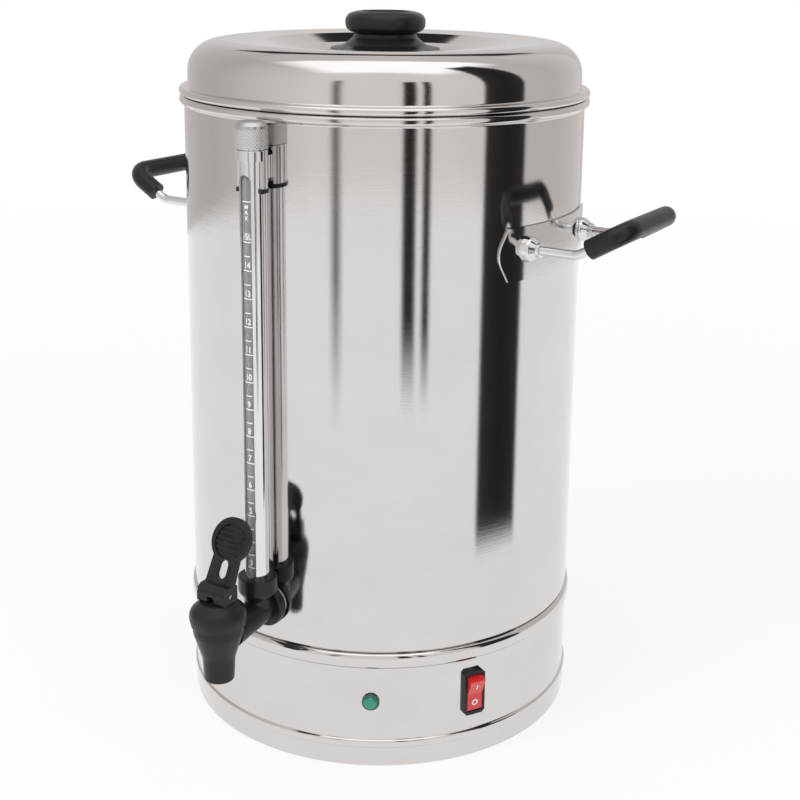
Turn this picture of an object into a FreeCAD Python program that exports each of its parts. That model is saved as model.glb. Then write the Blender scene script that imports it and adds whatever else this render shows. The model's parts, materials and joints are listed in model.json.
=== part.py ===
import FreeCAD, Part
import math
import os
import re
import Sketcher

# Hot water urn: a polished single-wall tank on a base shell, with a lid, two carrying handles,
# a level gauge and a tap. Millimetres, +Z up. The origin is on the urn's axis, level with the
# surface that it stands on. The tap faces -Y and the handles are on +X and -X.
#
# Pieces that stand on the wall are drawn in a frame of their own, in which +X points out
# through the wall, and their Placement then turns them to their place round the urn.

SIZES = {
    # tank
    "tank_radius": 135,
    "tank_wall": 0.8,
    "floor_height": 86,
    "spigot_step": 1.4,
    "spigot_depth": 10,
    "rim_height": 428,
    "rim_bead": 5,
    "rim_bead_out": 3.1,
    "seam_gap": 0.3,
    # base shell, bottom plate and feet
    "band_drop": 5.5,
    "band_height": 8,
    "band_out": 1.2,
    "foot_line": 19,
    "foot_bead": 5,
    "foot_bead_out": 1.2,
    "skirt_out": 0.6,
    "hem_width": 2.4,
    "lip_height": 4,
    "lip_width": 9,
    "plate_thickness": 1,
    "plate_screws": 4,
    "plate_screw_length": 6,
    "screw_head": 1.6,
    "plate_screw_radius": 1.6,
    "foot_inset": 31,
    "foot_radius": 11,
    "feet": 4,
    "foot_bearing": 45,
    # lid and knob
    "lid_wall": 0.8,
    "lid_play": 1.8,
    "lid_skirt": 9,
    "lid_bead": 4.6,
    "lid_bead_out": 6.1,
    "shoulder_rise": 26.4,
    "shoulder_radius": 17,
    "crown_inset": 50.4,
    "crown_step": 2.4,
    "crown_rise": 0.9,
    "knob_foot_radius": 35.5,
    "knob_neck_radius": 19.5,
    "knob_head_radius": 26.5,
    "knob_height": 23,
    "knob_head_height": 14.5,
    "knob_dish_radius": 15.5,
    "knob_dish_depth": 1,
    "knob_rim": 1.6,
    "knob_flare": 4.5,
    "knob_fillet": 2.6,
    "knob_screw_radius": 2.5,
    "knob_screw_reach": 12,
    "washer_radius": 9,
    "washer_thickness": 1.2,
    # carrying handles
    "handle_drop": 85.5,
    "handle_half_span": 38,
    "handle_plate_drop": 2.5,
    "handle_plate_height": 34,
    "handle_plate_corner": 53,
    "handle_plate_end": 61.5,
    "handle_plate_thickness": 1.2,
    "boss_radius": 8,
    "boss_stand": 5.5,
    "boss_collar_radius": 4.9,
    "boss_collar": 2.2,
    "rod_radius": 3,
    "rod_sink": 1.4,
    "rod_reach": 30,
    "rod_bend_radius": 13,
    "grip_reach": 60,
    "grip_rise": 17.5,
    "grip_radius": 6.5,
    "grip_bend_radius": 13,
    "grip_start": 0.27,
    # level gauge
    "gauge_reach": 12.5,
    "gauge_drop": 21,
    "glass_radius": 6.2,
    "glass_wall": 1.2,
    "shield_radius": 8,
    "shield_wall": 1,
    "shield_rise": 16,
    "shield_lap": 3,
    "slot_width": 8.4,
    "slot_margin": 9,
    "slot_end": 11.5,
    "collar_radius": 9.8,
    "collar_height": 6.5,
    "collar_back_height": 23.5,
    "collar_neck_width": 9,
    "collar_neck_height": 14,
    "collar_spigot_radius": 7.9,
    "collar_spigot": 7.5,
    "collar_edge": 0.8,
    "cap_radius": 9.9,
    "cap_gap": 0.6,
    "cap_height": 16,
    "cap_roof": 6,
    "stud_radius": 2.5,
    "stud_reach": 11,
    "nut_flats": 8,
    "nut_height": 4,
    "seal_height": 4,
    "glass_rise": 9,
    "glass_drop": 3.5,
    "clip_height": 2.6,
    "clip_out": 0.4,
    "cap_chamfer": 2.2,
    # tap
    "tap_reach": 53,
    "tap_rise": 21,
    "spout_drop": 30,
    "spout_lip": 1.2,
    "spout_waist": 15,
    "spout_waist_out": 0.8,
    "spout_curve": 18,
    "shoulder_drop": 5,
    "shoulder_curve": 10,
    "spout_foot_radius": 9.5,
    "spout_bore": 6.6,
    "spout_shoulder": 15.8,
    "barrel_radius": 9.9,
    "barrel_drop": 4,
    "barrel_wall_radius": 9.4,
    "water_way": 4.2,
    "flange_radius": 14,
    "flange_thickness": 5.5,
    "shank_radius": 8,
    "shank_reach": 19,
    "flange_edge": 1.5,
    "wall_gasket_radius": 12,
    "wall_gasket": 1.6,
    "lock_nut_flats": 25,
    "lock_nut_height": 6,
    "socket_radius": 12.6,
    "socket_lap": 8.5,
    "socket_drop": 7,
    "socket_flare": 5,
    "socket_curve": 4,
    "seat_drop": 6,
    "chamber_radius": 11,
    "neck_radius": 14,
    "neck_rise": 18,
    "cut_overrun": 1,
    "bonnet_rise": 7.3,
    "bonnet_radius": 17.9,
    "bonnet_neck_radius": 11.2,
    "bonnet_height": 15.7,
    "bonnet_roof": 3.6,
    "bonnet_edge": 1,
    "bonnet_skirt": 9.5,
    "bonnet_dome": 7,
    "stem_radius": 2.4,
    "cup_radius": 8.6,
    "cup_rim": 2.6,
    "cup_taper": 5,
    "cup_height": 7,
    "cup_floor": 2,
    "stem_collar": 1.4,
    "stem_collar_radius": 7.6,
    "spring_wire": 0.6,
    "spring_radius": 6.4,
    "spring_turns": 5,
    "pin_radius": 1.5,
    "pin_rise": 4.7,
    "fit": 0.03,
    "lever_lean": 27,
    "lever_width": 21,
    "lever_neck_width": 19,
    "lever_thickness": 3.4,
    "lever_pad_height": 32.6,
    "lever_pad_radius": 14.3,
    "lever_dish_radius": 11.2,
    "lever_dish_depth": 1,
    "lever_window_width": 7.6,
    "lever_window_height": 12,
    "lever_window_centre": 13.4,
    "lever_rim": 1.6,
    "lever_rim_height": 0.8,
    "lever_shank_foot": 2,
    "lever_rib": 1.2,
    "hub_back": 6.4,
    "hub_front": 7.2,
    "hub_nose": 1.8,
    "hub_fold": 1.2,
    "hub_height": 6.4,
    "hub_edge": 1.5,
    "eye_top": 3.3,
    "eye_half": 3,
    "slot_throat": 1.4,
    "slot_reach": 12,
    "pin_play": 1,
    "lever_ribs": 6,
    "eye_thickness": 5,
    "eye_slot": 5.4,
    # power switch and pilot lamp
    "control_height": 47,
    "switch_turn": 59.5,
    "bezel_width": 15.4,
    "bezel_height": 31,
    "bezel_depth": 3,
    "bezel_rim": 1.1,
    "bezel_chamfer": 2,
    "switch_depth": 24,
    "rocker_cavity": 15,
    "rocker_width": 10.8,
    "rocker_tilt": 12,
    "rocker_half": 11.8,
    "rocker_axle": 1.2,
    "rocker_slack": 0.25,
    "rocker_end_play": 1.4,
    "rocker_lip": 2.6,
    "rocker_root": 8,
    "rocker_edge": 1,
    "stub_length": 0.4,
    "pilot_turn": 30,
    "pilot_radius": 5.8,
    "pilot_body_radius": 4.6,
    "pilot_depth": 22,
    "pilot_rim": 1.4,
    "pilot_edge": 0.6,
    "pilot_dome": 2.6,
    "pilot_nut_radius": 7.6,
    "pilot_nut_height": 3,
    # power inlet
    "inlet_height": 44,
    "inlet_flange_height": 50,
    "inlet_flange_width": 23,
    "inlet_flange": 2.5,
    "inlet_body_height": 27,
    "inlet_body_width": 19.5,
    "inlet_depth": 21,
    "inlet_socket_height": 24.2,
    "inlet_socket_width": 16.2,
    "inlet_socket_depth": 16,
    "inlet_corner": 5,
    "inlet_screw_span": 40,
    "inlet_pin_spacing": 7,
    "inlet_earth_shift": 3.2,
    "inlet_pin_width": 4,
    "inlet_pin_thickness": 2,
    "inlet_pin_inset": 2,
    "inlet_tab": 8,
    "inlet_screw_radius": 1.5,
    "inlet_screw_length": 9,
    # heater and fittings in the base
    "heater_margin": 73,
    "heater_edge": 2,
    "heater_height": 12,
    "stud_length": 28,
    "clamp_margin": 42,
    "control_gap": 20,
    "thermostat_radius": 8.5,
    "cutout_radius": 7,
    "terminal_length": 34,
    "terminal_width": 18,
    "terminal_height": 14,
    "terminal_place": 70,
    "earth_stud_radius": 2,
    "earth_flange": 1.5,
    "earth_stud_height": 14,
    "earth_place": 40,
    "earth_nut_flats": 7,
    "clamp_width": 22,
    "clamp_height": 2,
}

# Places that follow from the sizes
PLACES = {
    "band_foot": "floor_height - band_drop",
    "spigot_foot": "floor_height - spigot_depth",
    "stud_foot": "floor_height - stud_length",
    "plate_screw_circle": "tank_radius - (tank_wall + lip_width + hem_width) / 2",
    "foot_circle": "tank_radius - foot_inset",
    "lid_radius": "tank_radius - tank_wall - lid_play",
    "lid_skirt_foot": "rim_height - lid_skirt",
    "shoulder_height": "rim_height + shoulder_rise",
    "crown_height": "shoulder_height + crown_step",
    "crown_radius": "lid_radius - crown_inset",
    "handle_height": "rim_height - handle_drop",
    "boss_out": "tank_radius + boss_stand",
    "rod_end": "tank_radius - rod_sink",
    "rod_bend_out": "tank_radius + rod_reach",
    "grip_out": "tank_radius + grip_reach",
    "gauge_out": "tank_radius + gauge_reach",
    "tap_height": "floor_height + tap_rise",
    "glass_foot": "tap_height + glass_rise",
    "shield_foot": "tap_height + shield_rise",
    "slot_foot": "shield_foot + slot_margin",
    "socket_top": "shield_foot + socket_lap",
    "socket_foot": "shield_foot - socket_drop",
    "collar_top": "rim_height - gauge_drop",
    "collar_foot": "collar_top - collar_height",
    "collar_back_foot": "collar_top - collar_back_height",
    "collar_spigot_top": "collar_top + collar_spigot",
    "shield_top": "collar_foot + shield_lap",
    "slot_top": "shield_top - slot_end",
    "glass_top": "collar_spigot_top - glass_drop",
    "stud_end": "tank_radius - stud_reach",
    "tap_out": "tank_radius + tap_reach",
    "spout_foot": "tap_height - spout_drop",
    "seat_height": "tap_height - seat_drop",
    "neck_top": "tap_height + neck_rise",
    "bonnet_foot": "tap_height + bonnet_rise",
    "bonnet_top": "bonnet_foot + bonnet_height",
    "shank_end": "tank_radius - shank_reach",
    "heater_radius": "tank_radius - heater_margin",
    "clamp_length": "(tank_radius - clamp_margin) * 2",
    "control_reach": "heater_radius + control_gap",
}

doc = FreeCAD.newDocument("hot_water_urn")
sheet = doc.addObject("Spreadsheet::Sheet", "sizes")
for row, (name, number) in enumerate(SIZES.items(), start=1):
    sheet.set("A%d" % row, name)
    sheet.set("B%d" % row, str(number))
    sheet.setAlias("B%d" % row, name)
doc.recompute()

PIECES = []


def bound(words):
    """An expression with each place spelled out and each size pointing at its cell."""
    def spell(found):
        name = found[0]
        if name in PLACES:
            return "(%s)" % bound(PLACES[name])
        return "sizes." + name if name in SIZES else name
    return re.sub(r"[a-z_]+", spell, words)


def value(words):
    """The number that an expression of named sizes has now."""
    number = sheet.evalExpression(bound(words))
    return float(getattr(number, "Value", number))


def new_body(name):
    """A sub-part made of sketches and features."""
    body = doc.addObject("PartDesign::Body", name)
    body.Label = name
    PIECES.append(body)
    return body


def new_sketch(body, plane="XZ_Plane", x="0", y="0", lift="0", turned="0", about=(0, 0, 1)):
    """A sketch on one of the body's own planes, moved by x and y in it and by lift off it,
    and turned about one of the plane's own axes."""
    sketch = body.newObject("Sketcher::SketchObject", body.Name + "_sketch")
    base = [part for part in body.Origin.OriginFeatures if part.Role == plane][0]
    sketch.AttachmentSupport = [(base, "")]
    sketch.MapMode = "FlatFace"
    tilt = FreeCAD.Rotation(FreeCAD.Vector(*about), value(turned))
    shift = FreeCAD.Vector(value(x), value(y), value(lift))
    sketch.AttachmentOffset = FreeCAD.Placement(shift, tilt)
    for path, words in (("Base.x", x), ("Base.y", y), ("Base.z", lift), ("Rotation.Angle", turned)):
        if words != "0":
            sketch.setExpression("AttachmentOffset." + path, bound(words))
    return sketch


def held(shape, point, x, y):
    """Rules that tie one point to its distances from the sketch's origin."""
    rules = []
    for kind, words, axis in (("DistanceX", x, -2), ("DistanceY", y, -1)):
        if words == "0":
            rules.append((Sketcher.Constraint("PointOnObject", shape, point, axis), ""))
        else:
            rules.append((Sketcher.Constraint(kind, -1, 1, shape, point, value(words)), words))
    return rules


def constrain(sketch, rules):
    """Adds the rules together, so that nothing is solved half held, and binds their sizes."""
    first = sketch.ConstraintCount
    sketch.addConstraint([rule for rule, words in rules])
    for number, (rule, words) in enumerate(rules, start=first):
        if words:
            sketch.setExpression("Constraints[%d]" % number, bound(words))


def outline(sketch, corners):
    """A closed outline through corners (x, y) or, for a rounded corner, (x, y, radius)."""
    count = len(corners)
    points = [FreeCAD.Vector(value(corner[0]), value(corner[1]), 0) for corner in corners]
    entry, leave = [], []
    for i, point in enumerate(points):
        back = (points[i - 1] - point).normalize()
        ahead = (points[(i + 1) % count] - point).normalize()
        reach = 0
        if len(corners[i]) > 2:
            reach = value(corners[i][2]) / math.tan(back.getAngle(ahead) / 2)
        entry.append(point + back * reach)
        leave.append(point + ahead * reach)
    sides = [
        sketch.addGeometry(Part.LineSegment(leave[i], entry[(i + 1) % count]), False)
        for i in range(count)
    ]
    rules = []
    for i, point in enumerate(points):
        before, after = sides[i - 1], sides[i]
        if len(corners[i]) == 2:
            rules.append((Sketcher.Constraint("Coincident", before, 2, after, 1), ""))
            rules += held(after, 1, corners[i][0], corners[i][1])
            continue
        radius = value(corners[i][2])
        inward = ((entry[i] - point).normalize() + (leave[i] - point).normalize()).normalize()
        centre = point + inward * math.hypot(radius, (entry[i] - point).Length)
        spokes = [entry[i] - centre, leave[i] - centre]
        leftward = spokes[0].cross(spokes[1]).z > 0
        angles = [math.atan2(spoke.y, spoke.x) for spoke in spokes]
        low, high = angles if leftward else reversed(angles)
        round_corner = Part.Circle(centre, FreeCAD.Vector(0, 0, 1), radius)
        arc = sketch.addGeometry(Part.ArcOfCircle(
            round_corner, low, high if high > low else high + 2 * math.pi), False)
        first, last = (1, 2) if leftward else (2, 1)
        corner = sketch.addGeometry(Part.Point(point), True)
        rules += [
            (Sketcher.Constraint("Tangent", before, 2, arc, first), ""),
            (Sketcher.Constraint("Tangent", arc, last, after, 1), ""),
            (Sketcher.Constraint("Radius", arc, radius), corners[i][2]),
            (Sketcher.Constraint("PointOnObject", corner, 1, before), ""),
            (Sketcher.Constraint("PointOnObject", corner, 1, after), ""),
        ]
        rules += held(corner, 1, corners[i][0], corners[i][1])
    constrain(sketch, rules)
    return sketch


def rectangle(sketch, left, right, low, high, radius=None):
    """A rectangle between two widths and two heights, with its corners rounded if asked."""
    corners = [(left, low), (right, low), (right, high), (left, high)]
    if radius:
        corners = [corner + (radius,) for corner in corners]
    return outline(sketch, corners)


def centred(sketch, width, height, radius=None):
    """A rectangle about the sketch's origin."""
    half, rise = "(%s) / 2" % width, "(%s) / 2" % height
    return rectangle(sketch, "-" + half, half, "-" + rise, rise, radius)


def circle(sketch, radius, x="0", y="0"):
    """A circle of a named radius about a point."""
    middle = FreeCAD.Vector(value(x), value(y), 0)
    ring = sketch.addGeometry(Part.Circle(middle, FreeCAD.Vector(0, 0, 1), value(radius)), False)
    size = (Sketcher.Constraint("Radius", ring, value(radius)), radius)
    constrain(sketch, [size] + held(ring, 3, x, y))
    return sketch


def hexagon(sketch, flats):
    """A regular hexagon of a named width across its flats."""
    corners = []
    for step in range(6):
        angle = math.radians(60 * step)
        share = 1 / math.sqrt(3)
        x = "%s * %.6f" % (flats, share * math.cos(angle))
        y = "%s * %.6f" % (flats, share * math.sin(angle))
        corners.append((x, y if step % 3 else "0"))
    return outline(sketch, corners)


def grow(body, kind, sketch):
    """Adds a feature to the body and checks that it changed the solid."""
    before = body.Shape.Volume if body.Shape.Solids else 0
    feature = body.newObject("PartDesign::" + kind, body.Name + "_" + kind.lower())
    feature.Profile = sketch
    sketch.Visibility = False
    return feature, before


def turn(body, corners, axis="V_Axis", cut=False, angle=360, **place):
    """Revolves an outline about the sketch's upright or level axis, or cuts it away."""
    sketch = outline(new_sketch(body, **place), corners)
    feature, before = grow(body, "Groove" if cut else "Revolution", sketch)
    feature.ReferenceAxis = (sketch, [axis])
    feature.Angle = angle
    feature.Midplane = angle != 360
    doc.recompute()
    changed(body, before, cut)
    return feature


def push(body, sketch, length, cut=False, both=False, back=False):
    """Pads the sketch by a length, or pockets it: forward, back, or half of it to both sides."""
    feature, before = grow(body, "Pocket" if cut else "Pad", sketch)
    feature.setExpression("Length", bound(length))
    feature.Reversed = back != cut
    if both:
        feature.SideType = "Symmetric"
    doc.recompute()
    changed(body, before, cut)
    return feature


def changed(body, before, cut):
    """Stops if a feature added nothing, or a cut took nothing away."""
    now = body.Shape.Volume
    grew = now < before - 1e-3 if cut else now > before + 1e-3
    if not grew:
        raise RuntimeError("a feature of %s changed nothing" % body.Name)


def ring_of(body, features, count):
    """Repeats features round the urn's axis, a named number of times."""
    base = [part for part in body.Origin.OriginFeatures if part.Role == "Z_Axis"][0]
    pattern = body.newObject("PartDesign::PolarPattern", body.Name + "_ring")
    pattern.Originals = features
    pattern.Axis = (base, [""])
    pattern.Angle = 360
    pattern.setExpression("Occurrences", bound(count))
    body.Tip = pattern
    doc.recompute()
    return pattern


def face(piece, words):
    """Turns a piece that is drawn pointing along +X to its bearing round the urn."""
    piece.Placement = FreeCAD.Placement(
        FreeCAD.Vector(0, 0, 0), FreeCAD.Rotation(FreeCAD.Vector(0, 0, 1), value(words)))
    if piece.TypeId != "Part::Feature":
        piece.setExpression("Placement.Rotation.Angle", bound(words))
    return piece


def formed(name, shape):
    """A sub-part whose shape is worked out here, for forms that sketches can't carry."""
    piece = doc.addObject("Part::Feature", name)
    piece.Label = name
    piece.Shape = shape
    PIECES.append(piece)
    return piece


FRONT = "-90"
BACK = "90"
RIGHT = "0"
LEFT = "180"
SWITCH = "switch_turn - 90"
PILOT = "pilot_turn - 90"

SPIGOT = "(tank_radius - spigot_step)"
BAND_TOP = "(band_foot + band_height)"
FLOOR_TOP = "(floor_height + tank_wall)"
COLLAR_MIDDLE = "((collar_back_foot + collar_top) / 2)"
LIP_TOP = "(lip_height + tank_wall)"
INNER_RADIUS = "(tank_radius - tank_wall)"
PLATE_FOOT = "(lip_height - plate_thickness)"
CAP_FOOT = "(collar_top + cap_gap)"
PIN_HEIGHT = "(bonnet_top + pin_rise)"
SWITCH_FACE = "(tank_radius + bezel_depth)"
INLET_FACE = "(tank_radius + inlet_flange)"
HEATER_FOOT = "(floor_height - seam_gap - heater_height)"
CLAMP_FOOT = "(floor_height - seam_gap - heater_height - clamp_height)"
HANDLE_RADIUS = "(tank_radius + seam_gap + handle_plate_thickness)"


def window(body, bearing, height, draw, reach):
    """Cuts an opening through the wall at a bearing round the urn, in the shape drawn by draw."""
    sketch = new_sketch(body, "YZ_Plane", y=height, turned=bearing, about=(0, 1, 0))
    draw(sketch)
    return push(body, sketch, reach, cut=True)


# Tank: wall, stepped spigot, floor, rolled rim, and the stud that holds the heater
def make_tank():
    body = new_body("tank")
    turn(body, [
        ("0", "stud_foot"),
        ("stud_radius", "stud_foot"),
        ("stud_radius", "floor_height"),
        (SPIGOT + " - tank_wall", "floor_height"),
        (SPIGOT + " - tank_wall", "spigot_foot"),
        (SPIGOT, "spigot_foot"),
        (SPIGOT, BAND_TOP),
        ("tank_radius", BAND_TOP + " + spigot_step"),
        ("tank_radius", "rim_height - rim_bead"),
        ("tank_radius + rim_bead_out", "rim_height - rim_bead", "rim_bead * 0.45"),
        ("tank_radius + rim_bead_out", "rim_height", "rim_bead * 0.45"),
        (INNER_RADIUS, "rim_height"),
        (INNER_RADIUS, BAND_TOP + " + spigot_step"),
        (SPIGOT + " - tank_wall", BAND_TOP),
        (SPIGOT + " - tank_wall", FLOOR_TOP),
        ("0", FLOOR_TOP),
    ])
    for radius, height in (("shank_radius", "tap_height"), ("stud_radius", COLLAR_MIDDLE)):
        window(body, FRONT, height, lambda s: circle(s, radius + " + seam_gap"),
               "tank_radius + rim_bead_out")


# Base shell: band bead, wall, foot bead, skirt with its hem, and the lip for the bottom plate
def make_base_shell():
    body = new_body("base_shell")
    turn(body, [
        ("tank_radius - hem_width", "0"),
        ("tank_radius + skirt_out", "0"),
        ("tank_radius + skirt_out", "foot_line - foot_bead"),
        ("tank_radius + foot_bead_out", "foot_line - foot_bead", "foot_bead * 0.1"),
        ("tank_radius + foot_bead_out", "foot_line", "foot_bead * 0.2"),
        ("tank_radius", "foot_line"),
        ("tank_radius", "band_foot"),
        ("tank_radius + band_out", "band_foot", "band_height * 0.14"),
        ("tank_radius + band_out", BAND_TOP, "band_height * 0.14"),
        (SPIGOT + " + seam_gap", BAND_TOP),
        (SPIGOT + " + seam_gap", BAND_TOP + " - spigot_step"),
        (INNER_RADIUS, BAND_TOP + " - spigot_step * 2"),
        (INNER_RADIUS, LIP_TOP),
        (INNER_RADIUS + " - lip_width", LIP_TOP),
        (INNER_RADIUS + " - lip_width", "lip_height"),
        ("tank_radius - hem_width", "lip_height"),
    ])
    reach = "tank_radius + foot_bead_out"
    window(body, PILOT, "control_height",
           lambda s: circle(s, "pilot_body_radius + seam_gap"), reach)
    window(body, SWITCH, "control_height",
           lambda s: centred(s, "bezel_width - bezel_rim * 2 + seam_gap * 2",
                             "bezel_height - bezel_rim * 2 + seam_gap * 2"), reach)
    window(body, BACK, "inlet_height",
           lambda s: centred(s, "inlet_body_width + seam_gap * 2",
                             "inlet_body_height + seam_gap * 2"), reach)
    for side in ("+", "-"):
        window(body, BACK, "inlet_height %s inlet_screw_span / 2" % side,
               lambda s: circle(s, "inlet_screw_radius + fit"), reach)
    hole = circle(new_sketch(body, "XY_Plane", x="plate_screw_circle"), "plate_screw_radius + fit")
    ring_of(body, [push(body, hole, "lip_height * 2", cut=True)], "plate_screws")


# Bottom plate under the lip, its screws, and the rubber feet level with the hem
def make_bottom():
    plate = new_body("bottom_plate")
    turn(plate, [
        ("0", PLATE_FOOT),
        ("tank_radius - hem_width - seam_gap", PLATE_FOOT),
        ("tank_radius - hem_width - seam_gap", "lip_height"),
        ("0", "lip_height"),
    ])
    hole = circle(new_sketch(plate, "XY_Plane", x="plate_screw_circle"), "plate_screw_radius + fit")
    ring_of(plate, [push(plate, hole, "lip_height * 2", cut=True)], "plate_screws")

    screws = new_body("base_screws")
    screw = turn(screws, [
        ("0", PLATE_FOOT + " - screw_head"),
        ("plate_screw_radius * 1.9", PLATE_FOOT + " - screw_head", "screw_head * 0.5"),
        ("plate_screw_radius * 1.9", PLATE_FOOT),
        ("plate_screw_radius", PLATE_FOOT),
        ("plate_screw_radius", PLATE_FOOT + " + plate_screw_length"),
        ("0", PLATE_FOOT + " + plate_screw_length"),
    ], x="plate_screw_circle")
    ring_of(screws, [screw], "plate_screws")

    feet = new_body("rubber_feet")
    foot = turn(feet, [
        ("0", "0"),
        ("foot_radius", "0"),
        ("foot_radius * 0.9", PLATE_FOOT),
        ("0", PLATE_FOOT),
    ], x="foot_circle")
    ring_of(feet, [foot], "feet")
    face(feet, "foot_bearing")


# Lid: flat crown, sloped dome, round shoulder, pinched bead on the rim, skirt inside the tank
def make_lid():
    body = new_body("lid")
    bead_foot = "rim_height + seam_gap"
    bead_top = bead_foot + " + lid_bead"
    slope = "crown_radius + crown_rise * 2"
    turn(body, [
        ("knob_screw_radius + seam_gap", "crown_height - lid_wall"),
        ("crown_radius", "crown_height - lid_wall"),
        (slope, "crown_height - crown_rise - lid_wall"),
        ("lid_radius - lid_wall", "shoulder_height - lid_wall", "shoulder_radius - lid_wall"),
        ("lid_radius - lid_wall", "lid_skirt_foot"),
        ("lid_radius", "lid_skirt_foot"),
        ("lid_radius", bead_foot),
        ("lid_radius + lid_bead_out", bead_foot, "lid_bead * 0.45"),
        ("lid_radius + lid_bead_out", bead_top, "lid_bead * 0.45"),
        ("lid_radius", bead_top),
        ("lid_radius", "shoulder_height", "shoulder_radius"),
        (slope, "crown_height - crown_rise"),
        ("crown_radius", "crown_height"),
        ("knob_screw_radius + seam_gap", "crown_height"),
    ])


# Knob with flared foot, neck and dished head, held by a screw and washer from under the lid
def make_knob():
    knob = new_body("lid_knob")
    top = "crown_height + knob_height"
    bore = "knob_screw_radius + fit"
    bore_end = "crown_height + knob_screw_reach + seam_gap"
    turn(knob, [
        (bore, "crown_height"),
        ("knob_foot_radius", "crown_height"),
        ("knob_foot_radius", "crown_height + knob_rim", "knob_rim * 0.44"),
        ("knob_neck_radius", "crown_height + knob_flare", "knob_fillet"),
        ("knob_neck_radius", top + " - knob_head_height"),
        ("knob_head_radius", top + " - knob_head_height", "knob_head_height * 0.42"),
        ("knob_head_radius", top, "knob_head_height * 0.48"),
        ("knob_dish_radius + knob_dish_depth", top),
        ("knob_dish_radius", top + " - knob_dish_depth"),
        ("0", top + " - knob_dish_depth"),
        ("0", bore_end),
        (bore, bore_end),
    ])
    under = "crown_height - lid_wall"
    head = under + " - washer_thickness"
    washer = new_body("knob_washer")
    turn(washer, [
        (bore, head),
        ("washer_radius", head),
        ("washer_radius", under),
        (bore, under),
    ])
    screw = new_body("knob_screw")
    turn(screw, [
        ("0", head + " - screw_head * 1.5"),
        ("knob_screw_radius * 1.8", head + " - screw_head * 1.5", "screw_head * 0.5"),
        ("knob_screw_radius * 1.8", head),
        ("knob_screw_radius", head),
        ("knob_screw_radius", "crown_height + knob_screw_reach"),
        ("0", "crown_height + knob_screw_reach"),
    ])


def bent_path(points, radii):
    """Straight runs through the points, joined by a tangent arc of a given radius at each bend."""
    edges = []
    start = points[0]
    for before, point, after, radius in zip(points, points[1:], points[2:], radii):
        back = (before - point).normalize()
        ahead = (after - point).normalize()
        reach = radius / math.tan(back.getAngle(ahead) / 2)
        inward = (back + ahead).normalize()
        middle = point + inward * (math.hypot(radius, reach) - radius)
        edges.append(Part.LineSegment(start, point + back * reach).toShape())
        edges.append(Part.Arc(point + back * reach, middle, point + ahead * reach).toShape())
        start = point + ahead * reach
    edges.append(Part.LineSegment(start, points[-1]).toShape())
    return Part.Wire(edges)


def tube_on(path, radius):
    """A round bar of one radius along a path."""
    first = path.Edges[0]
    ring = Part.Circle(first.valueAt(first.FirstParameter), first.tangentAt(first.FirstParameter),
                       radius)
    return path.makePipeShell([Part.Wire([ring.toShape()])], True, False)


def handle_points(start):
    """The rod's centreline from one boss to the other, from a first distance out."""
    side, low = value("handle_half_span"), value("handle_height")
    high = low + value("grip_rise")
    near = [
        (start, -side, low),
        (value("rod_bend_out"), -side, low),
        (value("grip_out"), -side, high),
    ]
    mirrored = [(x, -y, z) for x, y, z in reversed(near)]
    return [FreeCAD.Vector(*point) for point in near + mirrored]


# Carrying handle: curved plate on the wall, two domed bosses, bent rod and moulded grip
def make_handle(side, bearing):
    plate = new_body(side + "_handle_plate")
    middle = "(handle_height - handle_plate_drop)"
    half = "handle_plate_height / 2"
    ring = rectangle(new_sketch(plate), "tank_radius + seam_gap", HANDLE_RADIUS,
                     middle + " - " + half, middle + " + " + half)
    feature, before = grow(plate, "Revolution", ring)
    feature.ReferenceAxis = (ring, ["V_Axis"])
    feature.Midplane = True
    feature.setExpression("Angle", bound("2.2 * asin(handle_plate_end / tank_radius)"))
    doc.recompute()
    changed(plate, before, False)
    trim = new_sketch(plate, "YZ_Plane", y=middle)
    centred(trim, "handle_plate_end * 3", "handle_plate_height * 2")
    outline(trim, [
        ("-handle_plate_corner", "-" + half),
        ("handle_plate_corner", "-" + half),
        ("handle_plate_end", "0", half),
        ("handle_plate_corner", half),
        ("-handle_plate_corner", half),
        ("-handle_plate_end", "0", half),
    ])
    push(plate, trim, HANDLE_RADIUS + " * 1.1", cut=True)
    face(plate, bearing)

    bosses = new_body(side + "_handle_bosses")
    neck = "boss_out - boss_collar"
    boss = turn(bosses, [
        ("tank_radius * 0.9", "0"),
        ("tank_radius * 0.9", "boss_radius"),
        (neck + " - boss_radius * 0.5", "boss_radius", "boss_radius * 0.45"),
        (neck, "boss_collar_radius + seam_gap"),
        (neck, "boss_collar_radius"),
        ("boss_out", "boss_collar_radius", "boss_collar * 0.3"),
        ("boss_out", "rod_radius + fit"),
        ("rod_end - seam_gap", "rod_radius + fit"),
        ("rod_end - seam_gap", "0"),
    ], axis="H_Axis", y="handle_height", lift="handle_half_span")
    seat = circle(new_sketch(bosses, "XY_Plane"), HANDLE_RADIUS + " + fit")
    seat_cut = push(bosses, seat, "handle_height * 2", cut=True)
    pair = bosses.newObject("PartDesign::Mirrored", bosses.Name + "_pair")
    pair.Originals = [boss, seat_cut]
    pair.MirrorPlane = (
        [part for part in bosses.Origin.OriginFeatures if part.Role == "XZ_Plane"][0], [""])
    bosses.Tip = pair
    doc.recompute()
    face(bosses, bearing)

    bend, far = value("rod_bend_radius"), value("grip_bend_radius")
    points = handle_points(value("rod_end"))
    rod = tube_on(bent_path(points, [bend, far, far, bend]), value("rod_radius"))
    face(formed(side + "_handle_rod", rod), bearing)

    share = value("grip_start")
    start = points[1] + (points[2] - points[1]) * share
    finish = points[4] + (points[3] - points[4]) * share
    path = bent_path([start, points[2], points[3], finish], [far, far])
    grip = tube_on(path, value("grip_radius")).cut(tube_on(path, value("rod_radius + fit")))
    face(formed(side + "_handle_grip", grip), bearing)


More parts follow.
